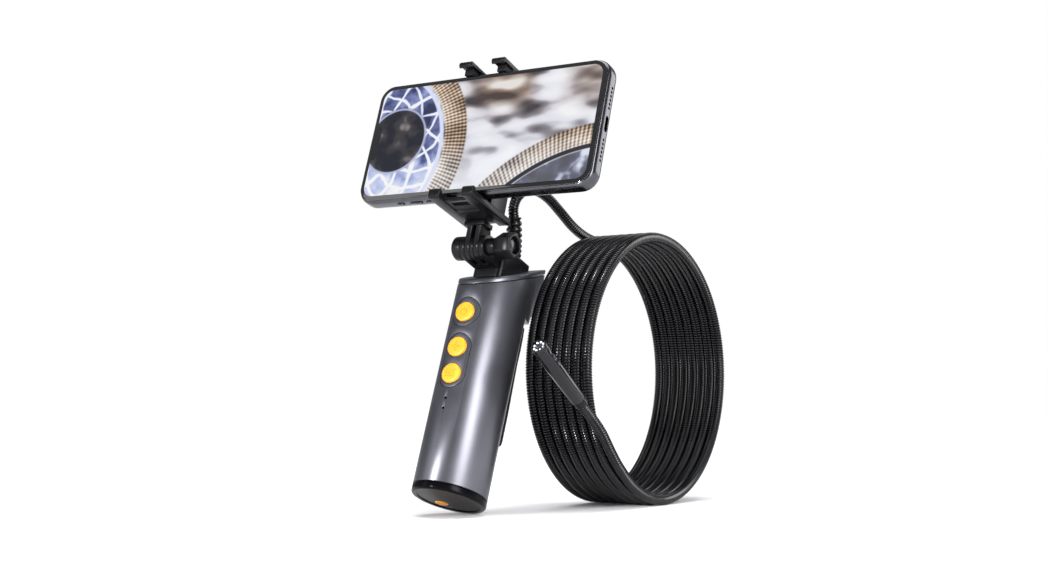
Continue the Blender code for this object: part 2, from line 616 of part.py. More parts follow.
def catmull(points, spacing):
    """Even points along a smooth curve through the given ones."""
    knots = [Vector(p) for p in points]
    ends = [2 * knots[0] - knots[1]] + knots + [2 * knots[-1] - knots[-2]]
    dense = []
    for a, b, c, d in zip(ends, ends[1:], ends[2:], ends[3:]):
        for i in range(20):
            t = i / 20
            dense.append(0.5 * (2 * b + (c - a) * t + (2 * a - 5 * b + 4 * c - d) * t ** 2
                                + (3 * b - a - 3 * c + d) * t ** 3))
    dense.append(knots[-1])
    lengths = [0.0]
    for p, q in zip(dense, dense[1:]):
        lengths.append(lengths[-1] + (q - p).length)
    count = max(2, round(lengths[-1] / spacing))
    even = []
    k = 0
    for i in range(count + 1):
        target = lengths[-1] * i / count
        while k < len(lengths) - 2 and lengths[k + 1] < target:
            k += 1
        share = (target - lengths[k]) / max(lengths[k + 1] - lengths[k], 1e-9)
        even.append(dense[k].lerp(dense[k + 1], share))
    return even


def tube(name, points, radius, finish, resolution=2, parent=None):
    curve = bpy.data.curves.new(name, "CURVE")
    curve.dimensions = "3D"
    curve.bevel_depth = radius
    curve.bevel_resolution = resolution
    curve.use_fill_caps = True
    spline = curve.splines.new("POLY")
    spline.points.add(len(points) - 1)
    for point, place in zip(spline.points, points):
        point.co = (*place, 1.0)
    obj = bpy.data.objects.new(name, curve)
    bpy.context.scene.collection.objects.link(obj)
    obj.data.materials.append(material(finish))
    obj.parent = parent
    return obj


def build_relief(to_world):
    """Ribbed strain relief that rises from the stem and bends towards the lead."""
    seat_y, seat_z = RELIEF_SEAT
    start = to_world @ Vector((RELIEF_X - GRIP_X, seat_y, seat_z))
    knee = to_world @ Vector((RELIEF_X - GRIP_X, seat_y, seat_z + RELIEF_RISE))
    across = Vector((1, 0, 0))

    def ring(share, radius):
        centre = start * (1 - share) ** 2 + knee * (2 * share * (1 - share)) + RELIEF_TIP * share ** 2
        along = ((knee - start) * (1 - share) + (RELIEF_TIP - knee) * share).normalized()
        side = along.cross(across)
        points = []
        for i in range(20):
            turn = 2 * math.pi * i / 20
            points.append(centre + across * (radius * math.cos(turn)) + side * (radius * math.sin(turn)))
        return points

    rings = [ring(0, RELIEF_RADIUS)]
    pitch = 0.92 / RELIEF_RIBS
    for i in range(RELIEF_RIBS):
        wide = RELIEF_RADIUS - 0.12 * MM * i
        for share, radius in ((0.1, wide - 0.8 * MM), (0.3, wide - 0.8 * MM), (0.4, wide), (0.9, wide)):
            rings.append(ring(0.04 + pitch * (i + share), radius))
    rings.append(ring(1, RELIEF_RADIUS - 1.3 * MM))
    bm = bmesh.new()
    loft(bm, rings)
    make("strain_relief", bm, "rubber")


def build_cable():
    """The lead to the coil, the coil as one ring, and the run to the probe."""
    lead = catmull([Vector(p) * MM for p in LEAD_ROUTE], 11 * MM)
    tube("cable_lead", lead, CABLE_DIAMETER / 2, "rubber")

    bm = bmesh.new()
    segments = 72
    to_coil = Matrix.Translation((COIL_X, COIL_Y, COIL_Z)) @ Matrix.Rotation(COIL_TURN, 4, "Z")
    low_x, high_x = COIL_FAR - CABLE_DIAMETER / 2 - COIL_X, COIL_NEAR + CABLE_DIAMETER / 2 - COIL_X
    inner, outer = COIL_RADIUS - CABLE_DIAMETER / 2, COIL_RADIUS + CABLE_DIAMETER / 2
    rows = []
    for i in range(segments):
        turn = 2 * math.pi * (i + 0.5) / segments
        row = []
        for x, radius in ((low_x, inner), (high_x, inner), (high_x, outer), (low_x, outer)):
            place = to_coil @ Vector((x, radius * math.sin(turn), radius * math.cos(turn)))
            row.append(bm.verts.new(place))
        rows.append(row)
    for row, after in zip(rows, rows[1:] + rows[:1]):
        for k in range(4):
            bm.faces.new((row[k], row[(k + 1) % 4], after[(k + 1) % 4], after[k]))
    make("cable_coil", bm, "rubber")

    tail = catmull([Vector(p) * MM for p in PROBE_ROUTE], 11 * MM)
    tube("probe_lead", tail, CABLE_DIAMETER / 2, "rubber")


def build_probe():
    """Probe: ferrule, tube with a side window, nose ring, lens and its ring of lamps."""
    along = (PROBE_TIP - PROBE_TAIL).normalized()
    length = (PROBE_TIP - PROBE_TAIL).length

    def at(distance):
        return PROBE_TAIL + along * distance

    bm = bmesh.new()
    turned(bm, at(0), at(5 * MM), ((0, 3.2 * MM), (0.25, 3.8 * MM), (1, 3.8 * MM)))
    make("probe_ferrule", bm, "gloss_black")
    bm = bmesh.new()
    profile = ((0, PROBE_RADIUS - 0.5 * MM), (0.02, PROBE_RADIUS), (1, PROBE_RADIUS))
    turned(bm, at(5 * MM + GAP), at(length - 3 * MM), profile, 32)
    body = make("probe_tube", bm, "gloss_black")
    side = Vector((0.7, 0.1, 0.6))
    side = (side - along * side.dot(along)).normalized()
    window = at(length - 12 * MM)
    bm = bmesh.new()
    rod(bm, window + side * 2.4 * MM, window + side * 8 * MM, 2.3 * MM + GAP / 2)
    boolean(body, make_cutter("side_port", bm), "DIFFERENCE")
    bm = bmesh.new()
    rod(bm, window + side * 2.7 * MM, window + side * 3.6 * MM, 2.3 * MM)
    make("side_lens", bm, "lens_glass")
    bm = bmesh.new()
    profile = ((0, PROBE_RADIUS), (0.8, PROBE_RADIUS), (1, PROBE_RADIUS - 0.4 * MM))
    turned(bm, at(length - 3 * MM + GAP), at(length), profile, 32)
    nose = make("probe_nose", bm, "gloss_black")
    bm = bmesh.new()
    rod(bm, at(length - 1.4 * MM), at(length + 3 * MM), 3.5 * MM)
    boolean(nose, make_cutter("nose_recess", bm), "DIFFERENCE")
    bm = bmesh.new()
    rod(bm, at(length - 1.1 * MM), at(length - 0.2 * MM), 1.3 * MM)
    make("front_lens", bm, "lens_glass")
    across = along.cross(side)
    bm = bmesh.new()
    rod(bm, at(length - 1.1 * MM), at(length - 0.8 * MM), 3.4 * MM, 32)
    lamps = make("probe_lamps", bm, "light_lens")
    bm = bmesh.new()
    rod(bm, at(length - 3 * MM), at(length + MM), 1.3 * MM + GAP / 2)
    boolean(lamps, make_cutter("lamp_board_bore", bm), "DIFFERENCE")
    for i in range(8):
        turn = 2 * math.pi * i / 8
        spot = (side * math.cos(turn) + across * math.sin(turn)) * 2.6 * MM
        bm = bmesh.new()
        rod(bm, at(length - 1.0 * MM) + spot, at(length - 0.4 * MM) + spot, 0.55 * MM, 8)
        boolean(lamps, make_cutter(f"lamp_{i}", bm), "UNION")


def main():
    clear_scene()
    grip = frame("grip_frame", (GRIP_X, GRIP_Y, GRIP_Z), LEAN)
    screen = frame("screen_frame", SCREEN_CENTRE, SCREEN_LEAN)
    build_shell(grip)
    heights = list(BUTTON_HEIGHTS.values())
    build_bezel("upper_bezel", grip, *UPPER_BEZEL, heights[:1])
    build_bezel("lower_bezel", grip, *LOWER_BEZEL, heights[1:])
    build_buttons(grip)
    build_grip_inside(grip)
    build_grip_ends(grip)
    build_stem(grip)
    build_hinge_hardware(grip)
    build_clamp(screen)
    to_world = Matrix.Translation((GRIP_X, GRIP_Y, GRIP_Z)) @ Matrix.Rotation(-LEAN, 4, "X")
    to_screen = (Matrix.Translation(SCREEN_CENTRE) @ Matrix.Rotation(-SCREEN_LEAN, 4, "X")).inverted()
    hinge = to_screen @ to_world @ Vector((0, HINGE_S, HINGE_H))
    build_fins(screen, hinge.y, hinge.z)
    build_jaw(screen)
    build_pads(screen)
    build_phone(screen)
    build_relief(to_world)
    build_cable()
    build_probe()


main()
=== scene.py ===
"""Looks of the handheld inspection camera: camera, cable, finishes and every visible piece."""
import json
import logging
import math
from dataclasses import dataclass, field
from enum import Enum
from typing import Iterable, Sequence

import bmesh
import bpy
import numpy as np
from mathutils import Matrix, Vector


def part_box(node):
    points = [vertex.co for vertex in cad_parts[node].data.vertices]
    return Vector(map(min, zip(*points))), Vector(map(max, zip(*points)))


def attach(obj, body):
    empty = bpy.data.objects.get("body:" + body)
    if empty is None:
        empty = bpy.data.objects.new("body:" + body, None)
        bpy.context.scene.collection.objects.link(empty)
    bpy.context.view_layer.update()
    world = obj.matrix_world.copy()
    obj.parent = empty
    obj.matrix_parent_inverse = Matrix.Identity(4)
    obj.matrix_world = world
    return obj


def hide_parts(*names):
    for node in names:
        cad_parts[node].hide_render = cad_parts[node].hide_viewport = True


logging.basicConfig(level=logging.INFO, format="%(name)s: %(message)s")
LOG = logging.getLogger("inspection_camera")

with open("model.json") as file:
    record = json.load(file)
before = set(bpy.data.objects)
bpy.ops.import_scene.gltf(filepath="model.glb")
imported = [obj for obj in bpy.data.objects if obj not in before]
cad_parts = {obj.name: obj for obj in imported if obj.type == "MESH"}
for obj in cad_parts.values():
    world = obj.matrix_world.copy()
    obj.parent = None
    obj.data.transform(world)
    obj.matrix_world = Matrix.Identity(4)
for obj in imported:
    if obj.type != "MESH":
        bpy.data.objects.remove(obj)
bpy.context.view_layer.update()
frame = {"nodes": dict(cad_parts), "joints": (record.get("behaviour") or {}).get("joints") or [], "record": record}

MM = 0.001
Point = tuple[float, float, float]
Ring = Sequence[Sequence[float]]


class Body(Enum):
    """The moving bodies of the frame."""

    GRIP = "grip"
    POWER = "power_button"
    LIGHT = "light_button"
    CAPTURE = "capture_button"
    KNOB = "knob"
    CLAMP = "clamp"
    JAW = "jaw"
    PHONE = "phone"


class Slot(Enum):
    """The record's material slots."""

    GUNMETAL = "gunmetal"
    PLASTIC = "black_plastic"
    GLOSS = "gloss_black"
    PAD = "pad_rubber"
    CABLE = "cable_rubber"
    AMBER = "amber_plastic"
    STEEL = "steel"
    BOARD = "board_green"
    CELL = "cell_wrap"
    SCREEN = "screen_glass"
    PHONE = "phone_metal"
    LENS = "lens_glass"
    LIGHT = "light_lens"


class Cut(Enum):
    """How one solid works on another."""

    REMOVE = "DIFFERENCE"
    JOIN = "UNION"
    KEEP = "INTERSECT"


# ---------------------------------------------------------------- materials


class Graph:
    """A material's node tree, with short calls for the nodes that the finishes use."""

    def __init__(self, name: str) -> None:
        """Start a material with a Principled shader.

        Args:
            name: The material's name.
        """
        self.material = bpy.data.materials.new(name)
        self.material.use_nodes = True
        self.tree = self.material.node_tree
        self.shader = self.tree.nodes["Principled BSDF"]
        coordinates = self.node("ShaderNodeTexCoord")
        self.place = coordinates.outputs["Object"]
        self.uv = coordinates.outputs["UV"]

    def node(self, kind: str, **settings: object) -> bpy.types.Node:
        """Add a node and set its properties.

        Args:
            kind: The node's type name.
            **settings: Properties of the node.

        Returns:
            The new node.
        """
        made = self.tree.nodes.new(kind)
        for name, value in settings.items():
            setattr(made, name, value)
        return made

    def feed(self, socket: bpy.types.NodeSocket, value: object) -> None:
        """Link a socket to another, or set its value."""
        if isinstance(value, bpy.types.NodeSocket):
            self.tree.links.new(value, socket)
        else:
            socket.default_value = value

    def surface(self, **sockets: object) -> None:
        """Set the shader's sockets by name, with underscores for spaces."""
        for name, value in sockets.items():
            self.feed(self.shader.inputs[name.replace("_", " ")], value)

    def noise(self, scale: float, detail: float = 2.0, source: object = None) -> bpy.types.NodeSocket:
        """A noise pattern's value.

        Args:
            scale: Features per metre, or per unit of the source.
            detail: Octaves of finer noise.
            source: The coordinates read, the object's own when not given.

        Returns:
            The value socket.
        """
        made = self.node("ShaderNodeTexNoise")
        self.feed(made.inputs["Vector"], source or self.place)
        made.inputs["Scale"].default_value = scale
        made.inputs["Detail"].default_value = detail
        return made.outputs["Fac"]

    def math(self, operation: str, a: object, b: object = 0.0, c: object = 0.0) -> bpy.types.NodeSocket:
        """One arithmetic step on up to three values."""
        made = self.node("ShaderNodeMath", operation=operation)
        for socket, value in zip(made.inputs, (a, b, c)):
            self.feed(socket, value)
        return made.outputs[0]

    def span(self, value: object, low: float, high: float, to_low: float = 0.0, to_high: float = 1.0,
             smooth: bool = False) -> bpy.types.NodeSocket:
        """Map a value's range to another, clamped.

        Args:
            value: The socket to map.
            low: Start of its range.
            high: End of its range.
            to_low: Result at the start.
            to_high: Result at the end.
            smooth: Ease in and out instead of a straight line.

        Returns:
            The mapped value's socket.
        """
        made = self.node("ShaderNodeMapRange", interpolation_type="SMOOTHSTEP" if smooth else "LINEAR")
        for name, item in (("Value", value), ("From Min", low), ("From Max", high),
                           ("To Min", to_low), ("To Max", to_high)):
            self.feed(made.inputs[name], item)
        return made.outputs["Result"]

    def ramp(self, value: object, stops: Sequence[tuple[float, Point]]) -> bpy.types.NodeSocket:
        """A colour ramp through (position, colour) stops."""
        made = self.node("ShaderNodeValToRGB")
        self.feed(made.inputs["Fac"], value)
        elements = made.color_ramp.elements
        while len(elements) < len(stops):
            elements.new(0.5)
        for element, (position, colour) in zip(elements, stops):
            element.position = position
            element.color = (*colour, 1.0)
        return made.outputs["Color"]

    def mix(self, factor: object, a: object, b: object) -> bpy.types.NodeSocket:
        """Blend two colours by a factor."""
        made = self.node("ShaderNodeMix", data_type="RGBA")
        self.feed(made.inputs["Factor"], factor)
        for socket, value in ((made.inputs[6], a), (made.inputs[7], b)):
            self.feed(socket, (*value, 1.0) if isinstance(value, tuple) and len(value) == 3 else value)
        return made.outputs[2]

    def bump(self, height: object, strength: float, distance: float) -> None:
        """Raise the surface by a height pattern, with its distance in metres."""
        made = self.node("ShaderNodeBump")
        self.feed(made.inputs["Height"], height)
        made.inputs["Strength"].default_value = strength
        made.inputs["Distance"].default_value = distance
        self.tree.links.new(made.outputs["Normal"], self.shader.inputs["Normal"])


@dataclass(frozen=True)
class Finish:
    """A plain moulded, metal or rubber finish with grain and slow variation."""

    slot: Slot
    colour: Point
    tint: Point
    roughness: tuple[float, float]
    metallic: float = 0.0
    grain: float = 1500.0
    grain_depth: float = 0.02 * MM
    grain_strength: float = 0.3
    coat: float = 0.0
    sheen: float = 0.0
    specular: float = 0.5

    def build(self) -> bpy.types.Material:
        """Make the material."""
        graph = Graph(f"{self.slot.value}_finish")
        slow = graph.noise(60.0, 3.0)
        fine = graph.noise(self.grain, 2.0)
        graph.surface(
            Base_Color=graph.ramp(slow, ((0.3, self.colour), (0.7, self.tint))),
            Roughness=graph.span(slow, 0.3, 0.7, *self.roughness),
            Metallic=self.metallic,
            Specular_IOR_Level=self.specular,
            Coat_Weight=self.coat,
            Coat_Roughness=0.06,
            Sheen_Weight=self.sheen,
        )
        graph.bump(fine, self.grain_strength, self.grain_depth)
        return graph.material


@dataclass(frozen=True)
class LensFinish:
    """Dark coated glass over a deep barrel."""

    slot: Slot = Slot.LENS

    def build(self) -> bpy.types.Material:
        """Make the material."""
        graph = Graph("lens_finish")
        slow = graph.noise(400.0, 1.0)
        graph.surface(
            Base_Color=graph.ramp(slow, ((0.35, (0.01, 0.012, 0.02)), (0.65, (0.02, 0.03, 0.07)))),
            Roughness=0.04,
            Specular_IOR_Level=0.8,
            Coat_Weight=1.0,
            Coat_Roughness=0.02,
        )
        return graph.material


@dataclass(frozen=True)
class LampFinish:
    """Milky lamp covers that glow a little."""

    slot: Slot = Slot.LIGHT

    def build(self) -> bpy.types.Material:
        """Make the material."""
        graph = Graph("lamp_finish")
        slow = graph.noise(2500.0, 1.0)
        graph.surface(
            Base_Color=graph.ramp(slow, ((0.3, (0.75, 0.77, 0.8)), (0.7, (0.9, 0.9, 0.88)))),
            Roughness=0.2,
            Emission_Color=(0.9, 0.95, 1.0, 1.0),
            Emission_Strength=0.35,
            Coat_Weight=0.6,
        )
        return graph.material


class Finishes:
    """Every finish of the object, made once and looked up by slot."""

    def __init__(self) -> None:
        """Build the materials."""
        plain = (
            Finish(Slot.GUNMETAL, (0.125, 0.126, 0.145), (0.14, 0.141, 0.162), (0.33, 0.37), 0.92,
                   grain=2600.0, grain_depth=0.006 * MM, grain_strength=0.35),
            Finish(Slot.PLASTIC, (0.003, 0.003, 0.004), (0.005, 0.005, 0.006), (0.28, 0.36),
                   grain=2200.0, grain_depth=0.02 * MM, specular=0.17),
            Finish(Slot.GLOSS, (0.002, 0.002, 0.003), (0.003, 0.003, 0.004), (0.13, 0.18),
                   grain=900.0, grain_depth=0.003 * MM, specular=0.35),
            Finish(Slot.PAD, (0.004, 0.004, 0.005), (0.007, 0.007, 0.008), (0.55, 0.68),
                   grain=2600.0, grain_depth=0.05 * MM, specular=0.2),
            Finish(Slot.CABLE, (0.002, 0.002, 0.003), (0.004, 0.004, 0.005), (0.17, 0.23),
                   grain=3000.0, grain_depth=0.01 * MM, specular=0.3),
            Finish(Slot.AMBER, (0.86, 0.33, 0.012), (0.93, 0.40, 0.02), (0.36, 0.44),
                   grain=2200.0, grain_depth=0.012 * MM),
            Finish(Slot.STEEL, (0.06, 0.06, 0.065), (0.08, 0.08, 0.085), (0.24, 0.32), 1.0,
                   grain=1200.0, grain_depth=0.008 * MM),
            Finish(Slot.BOARD, (0.012, 0.09, 0.035), (0.02, 0.13, 0.05), (0.35, 0.5)),
            Finish(Slot.CELL, (0.03, 0.07, 0.25), (0.04, 0.09, 0.32), (0.3, 0.4)),
            Finish(Slot.SCREEN, (0.004, 0.004, 0.005), (0.006, 0.006, 0.007), (0.03, 0.05),
                   grain=500.0, grain_depth=0.001 * MM, coat=1.0),
            Finish(Slot.PHONE, (0.07, 0.07, 0.08), (0.09, 0.09, 0.1), (0.18, 0.24), 1.0,
                   grain=1800.0, grain_depth=0.003 * MM),
            LensFinish(),
            LampFinish(),
        )
        self.by_slot = {finish.slot: finish.build() for finish in plain}
        self.foot = Finish(Slot.GLOSS, (0.002, 0.002, 0.003), (0.003, 0.003, 0.004), (0.16, 0.22),
                           grain=900.0, grain_depth=0.003 * MM, specular=0.06).build()

    def dress(self, piece: bpy.types.Object, slot: Slot) -> None:
        """Give a piece the finish of a slot."""
        piece.data.materials.clear()
        piece.data.materials.append(self.by_slot[slot])


# ---------------------------------------------------------------- shaping


def deselect() -> None:
    """Leave edit mode's selection and the object selection empty."""
    if bpy.context.object and bpy.context.object.mode != "OBJECT":
        bpy.ops.object.mode_set(mode="OBJECT")
    bpy.ops.object.select_all(action="DESELECT")


def activate(piece: bpy.types.Object) -> None:
    """Make a piece the only selected and the active object."""
    deselect()
    piece.select_set(True)
    bpy.context.view_layer.objects.active = piece


def place_key(place: Vector) -> tuple[float, ...]:
    """A point rounded so that it can be looked up."""
    return tuple(round(value, 9) for value in place)


def skin(name: str, rings: Sequence[Ring]) -> bpy.types.Object:
    """Shape a circle into the first ring, then extrude it through the others.

    Args:
        name: The piece's name.
        rings: Rings of equal count, each a list of points.

    Returns:
        The piece, in object mode, with its faces pointing out.
    """
    deselect()
    count = len(rings[0])
    bpy.ops.mesh.primitive_circle_add(vertices=count, radius=1.0, fill_type="NGON", location=(0, 0, 0))
    piece = bpy.context.object
    piece.name = name
    for vertex, place in zip(piece.data.vertices, rings[0]):
        vertex.co = place
    bpy.ops.object.mode_set(mode="EDIT")
    bpy.ops.mesh.select_mode(type="VERT")
    bpy.ops.mesh.select_all(action="SELECT")
    order = list(range(count))
    for ring in rings[1:]:
        mesh = bmesh.from_edit_mesh(piece.data)
        ends = [vertex for vertex in mesh.verts if vertex.select]
        places = {place_key(vertex.co): rank for rank, vertex in zip(order, ends)}
        bpy.ops.mesh.extrude_region_move()
        mesh = bmesh.from_edit_mesh(piece.data)
        order = []
        for vertex in mesh.verts:
            if vertex.select:
                rank = places[place_key(vertex.co)]
                vertex.co = ring[rank]
                order.append(rank)
        bmesh.update_edit_mesh(piece.data)
    bpy.ops.mesh.select_all(action="SELECT")
    bpy.ops.mesh.normals_make_consistent(inside=False)
    bpy.ops.object.mode_set(mode="OBJECT")
    return piece


def work(piece: bpy.types.Object, other: bpy.types.Object, cut: Cut) -> bpy.types.Object:
    """Cut, join or intersect a piece with another, which is used up."""
    activate(piece)
    step = piece.modifiers.new("work", "BOOLEAN")
    step.operation = cut.value
    step.solver = "EXACT"
    step.object = other
    bpy.ops.object.modifier_apply(modifier=step.name)
    bpy.data.objects.remove(other, do_unlink=True)
    return piece


def soften(piece: bpy.types.Object, width: float, segments: int = 2, angle: float = 35.0) -> None:
    """Round a piece's sharp edges and shade the rest smooth.

    Args:
        piece: The piece.
        width: Width of the rounding, none when zero.
        segments: Faces across the rounding.
        angle: Edges sharper than this many degrees are rounded.
    """
    activate(piece)
    if width:
        step = piece.modifiers.new("soften", "BEVEL")
        step.width = width
        step.segments = segments
        step.limit_method = "ANGLE"
        step.angle_limit = math.radians(angle)
        step.harden_normals = False
        bpy.ops.object.modifier_apply(modifier=step.name)
    bpy.ops.object.shade_smooth_by_angle(angle=math.radians(angle))


def move_into_place(piece: bpy.types.Object, placing: Matrix) -> None:
    """Put a piece's mesh where it belongs, with the object itself at the origin."""
    activate(piece)
    piece.matrix_world = placing
    bpy.ops.object.transform_apply(location=True, rotation=True, scale=True)


def rounded_rect(half_a: float, half_b: float, radius: float, steps: int = 8) -> list[tuple[float, float]]:
    """Points of a rectangle with round corners, counter-clockwise."""
    points = []
    for corner, (sign_a, sign_b) in enumerate(((1, 1), (-1, 1), (-1, -1), (1, -1))):
        for k in range(steps + 1):
            turn = math.pi / 2 * (corner + k / steps)
            points.append((sign_a * (half_a - radius) + radius * math.cos(turn),
                           sign_b * (half_b - radius) + radius * math.sin(turn)))
    return points


def hull(points: Sequence[tuple[float, float]]) -> list[tuple[float, float]]:
    """The convex outline around flat points, counter-clockwise."""
    ordered = sorted(set(points))
    chains = []
    for run in (ordered, ordered[::-1]):
        chain: list[tuple[float, float]] = []
        for x, y in run:
            while len(chain) > 1:
                (ax, ay), (bx, by) = chain[-2], chain[-1]
                if (bx - ax) * (y - ay) - (by - ay) * (x - ax) > 0:
                    break
                chain.pop()
            chain.append((x, y))
        chains += chain[:-1]
    return chains


def prism_x(name: str, outline: Sequence[tuple[float, float]], low: float, high: float) -> bpy.types.Object:
    """A solid with a (y, z) outline between two x planes."""
    return skin(name, [[(x, y, z) for y, z in outline] for x in (low, high)])


def prism_y(name: str, outline: Sequence[tuple[float, float]], low: float, high: float) -> bpy.types.Object:
    """A solid with an (x, z) outline between two y planes."""
    return skin(name, [[(x, y, z) for x, z in outline] for y in (low, high)])


def turned(name: str, start: Sequence[float], end: Sequence[float],
           profile: Sequence[tuple[float, float]], segments: int = 48) -> bpy.types.Object:
    """A turned solid on the line from start to end.

    Args:
        name: The piece's name.
        start: One end of the axis.
        end: Its other end.
        profile: Pairs of distance from start and radius, in metres.
        segments: Points around.

    Returns:
        The piece.
    """
    base = Vector(start)
    along = (Vector(end) - base).normalized()
    side = along.orthogonal().normalized()
    other = along.cross(side)
    rings = []
    for distance, radius in profile:
        centre = base + along * distance
        rings.append([centre + side * (radius * math.cos(2 * math.pi * i / segments))
                      + other * (radius * math.sin(2 * math.pi * i / segments)) for i in range(segments)])
    return skin(name, rings)


def finished(piece: bpy.types.Object, finishes: Finishes, slot: Slot, body: Body,
             stands_for: Iterable[str] = ()) -> bpy.types.Object:
    """Dress a piece, fix it to its body and hide the CAD nodes that it stands for."""
    finishes.dress(piece, slot)
    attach(piece, body.value)
    nodes = tuple(stands_for)
    if nodes:
        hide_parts(*nodes)
    LOG.info("%s rides on %s, %d faces", piece.name, body.value, len(piece.data.polygons))
    return piece


def refined(node: str, finishes: Finishes, slot: Slot, body: Body, width: float,
            segments: int = 2) -> bpy.types.Object:
    """A welded copy of a CAD node with clean faces and rounded edges, which replaces it."""
    source = frame["nodes"][node]
    piece = bpy.data.objects.new(f"{node}_made", source.data.copy())
    bpy.context.scene.collection.objects.link(piece)
    activate(piece)
    bpy.ops.object.mode_set(mode="EDIT")
    bpy.ops.mesh.select_all(action="SELECT")
    bpy.ops.mesh.remove_doubles(threshold=0.002 * MM)
    bpy.ops.mesh.dissolve_limited(angle_limit=math.radians(1.0))
    bpy.ops.object.mode_set(mode="OBJECT")
    soften(piece, width, segments)
    return finished(piece, finishes, slot, body, (node,))


# ---------------------------------------------------------------- places taken from the frame


def mount_place(name: str) -> tuple[Vector, Vector]:
    """A mount's point and outward direction."""
    for mount in frame["record"]["mounts"]:
        if mount["name"] == name:
            return Vector(mount["pos_m"]), Vector(mount["axis"])
    raise KeyError(name)


def joint(name: str) -> dict:
    """A joint's entry in the record."""
    return next(entry for entry in frame["joints"] if entry["name"] == name)


def leaning(origin: Vector, up: Vector) -> Matrix:
    """Placing for a local frame with its Z along up and its X along the world's."""
    lean = math.atan2(up.y, up.z)
    return Matrix.Translation(origin) @ Matrix.Rotation(-lean, 4, "X")


def grip_frame() -> Matrix:
    """The grip's own frame: x across, y backwards, z up its axis, from the foot's centre."""
    place, outward = mount_place("foot_face")
    return leaning(place, -outward)


def screen_frame() -> Matrix:
    """The screen's own frame: x along it, y backwards, z up its face, from the glass's centre."""
    low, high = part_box("phone_frame")
    up = Vector(joint("jaw_slide")["axis"])
    placing = leaning((low + high) / 2, up)
    return placing @ Matrix.Translation((0, -5.2 * MM, 0))


# ---------------------------------------------------------------- camera, floor and light


@dataclass
class Studio:
    """Camera, pale floor and soft lights."""

    camera_place: Point = (0.4308, -0.6673, 0.0627)
    camera_turn: float = math.radians(31.67)
    camera_rise: float = math.radians(4.16)
    lens: float = 51.5
    floor_half: float = 4.0
    sky_strength: float = 0.28
    backdrop_strength: float = 1.0
    overhead_strength: float = 2.75
    overhead_spread: float = math.radians(50.0)

    def build(self) -> None:
        """Make the camera, the floor, the sky and the lamps."""
        self.build_camera()
        self.build_floor()
        self.build_sky()
        self.overhead()
        self.softbox("key_light", (1.02, -0.36, 0.35), (0, 0, 0.1), (0.42, 0.9), 16.0)
        self.softbox("fill_light", (-0.75, -0.75, 0.35), (0, 0, 0.12), (0.3, 0.9), 1.2)
        self.softbox("rim_light", (0.72, 1.25, 0.5), (0, 0, 0.15), (0.5, 0.8), 5.0)
        self.softbox("spark_light", (-0.2, -1.0, 0.3), (0, 0, 0.1), (0.05, 0.05), 8.0)

    def build_camera(self) -> None:
        """Stand the camera at its place and make it the scene's."""
        data = bpy.data.cameras.new("camera")
        data.lens = self.lens
        data.sensor_width = 36.0
        data.clip_end = 50.0
        data.clip_start = 0.01
        camera = bpy.data.objects.new("camera", data)
        bpy.context.scene.collection.objects.link(camera)
        camera.location = self.camera_place
        camera.rotation_euler = (math.pi / 2 + self.camera_rise, 0, self.camera_turn)
        bpy.context.scene.camera = camera

    def build_floor(self) -> None:
        """A wide pale floor under the object."""
        deselect()
        bpy.ops.mesh.primitive_plane_add(size=2 * self.floor_half, location=(0, 0, 0))
        floor = bpy.context.object
        floor.name = "floor"
        graph = Graph("floor_paint")
        paint = graph.ramp(graph.noise(3.0), ((0.3, (0.93, 0.93, 0.94)), (0.7, (0.96, 0.96, 0.965))))
        graph.surface(Base_Color=paint, Roughness=0.9, Specular_IOR_Level=0.0)
        floor.data.materials.append(graph.material)

    def build_sky(self) -> None:
        """A white backdrop that lights the object only dimly."""
        world = bpy.data.worlds.new("studio")
        world.use_nodes = True
        tree = world.node_tree
        dim = tree.nodes["Background"]
        dim.inputs["Color"].default_value = (0.93, 0.95, 1.0, 1.0)
        dim.inputs["Strength"].default_value = self.sky_strength
        bright = tree.nodes.new("ShaderNodeBackground")
        bright.inputs["Color"].default_value = (1.0, 1.0, 1.0, 1.0)
        bright.inputs["Strength"].default_value = self.backdrop_strength
        seen = tree.nodes.new("ShaderNodeLightPath")
        either = tree.nodes.new("ShaderNodeMixShader")
        tree.links.new(seen.outputs["Is Camera Ray"], either.inputs["Fac"])
        tree.links.new(dim.outputs[0], either.inputs[1])
        tree.links.new(bright.outputs[0], either.inputs[2])
        tree.links.new(either.outputs[0], tree.nodes["World Output"].inputs["Surface"])
        bpy.context.scene.world = world
        bpy.context.scene.view_settings.view_transform = "Standard"

    def overhead(self) -> None:
        """A broad overhead light that keeps the floor evenly white."""
        data = bpy.data.lights.new("overhead", "SUN")
        data.energy = self.overhead_strength
        data.angle = self.overhead_spread
        lamp = bpy.data.objects.new("overhead", data)
        bpy.context.scene.collection.objects.link(lamp)

    def softbox(self, name: str, place: Point, target: Point, size: tuple[float, float],
                power: float) -> None:
        """An area lamp that looks at a target."""
        data = bpy.data.lights.new(name, "AREA")
        data.shape = "RECTANGLE"
        data.size, data.size_y = size
        data.energy = power
        lamp = bpy.data.objects.new(name, data)
        bpy.context.scene.collection.objects.link(lamp)
        lamp.location = place
        lamp.rotation_euler = (Vector(target) - Vector(place)).to_track_quat("-Z", "Y").to_euler()


# ---------------------------------------------------------------- cable and probe


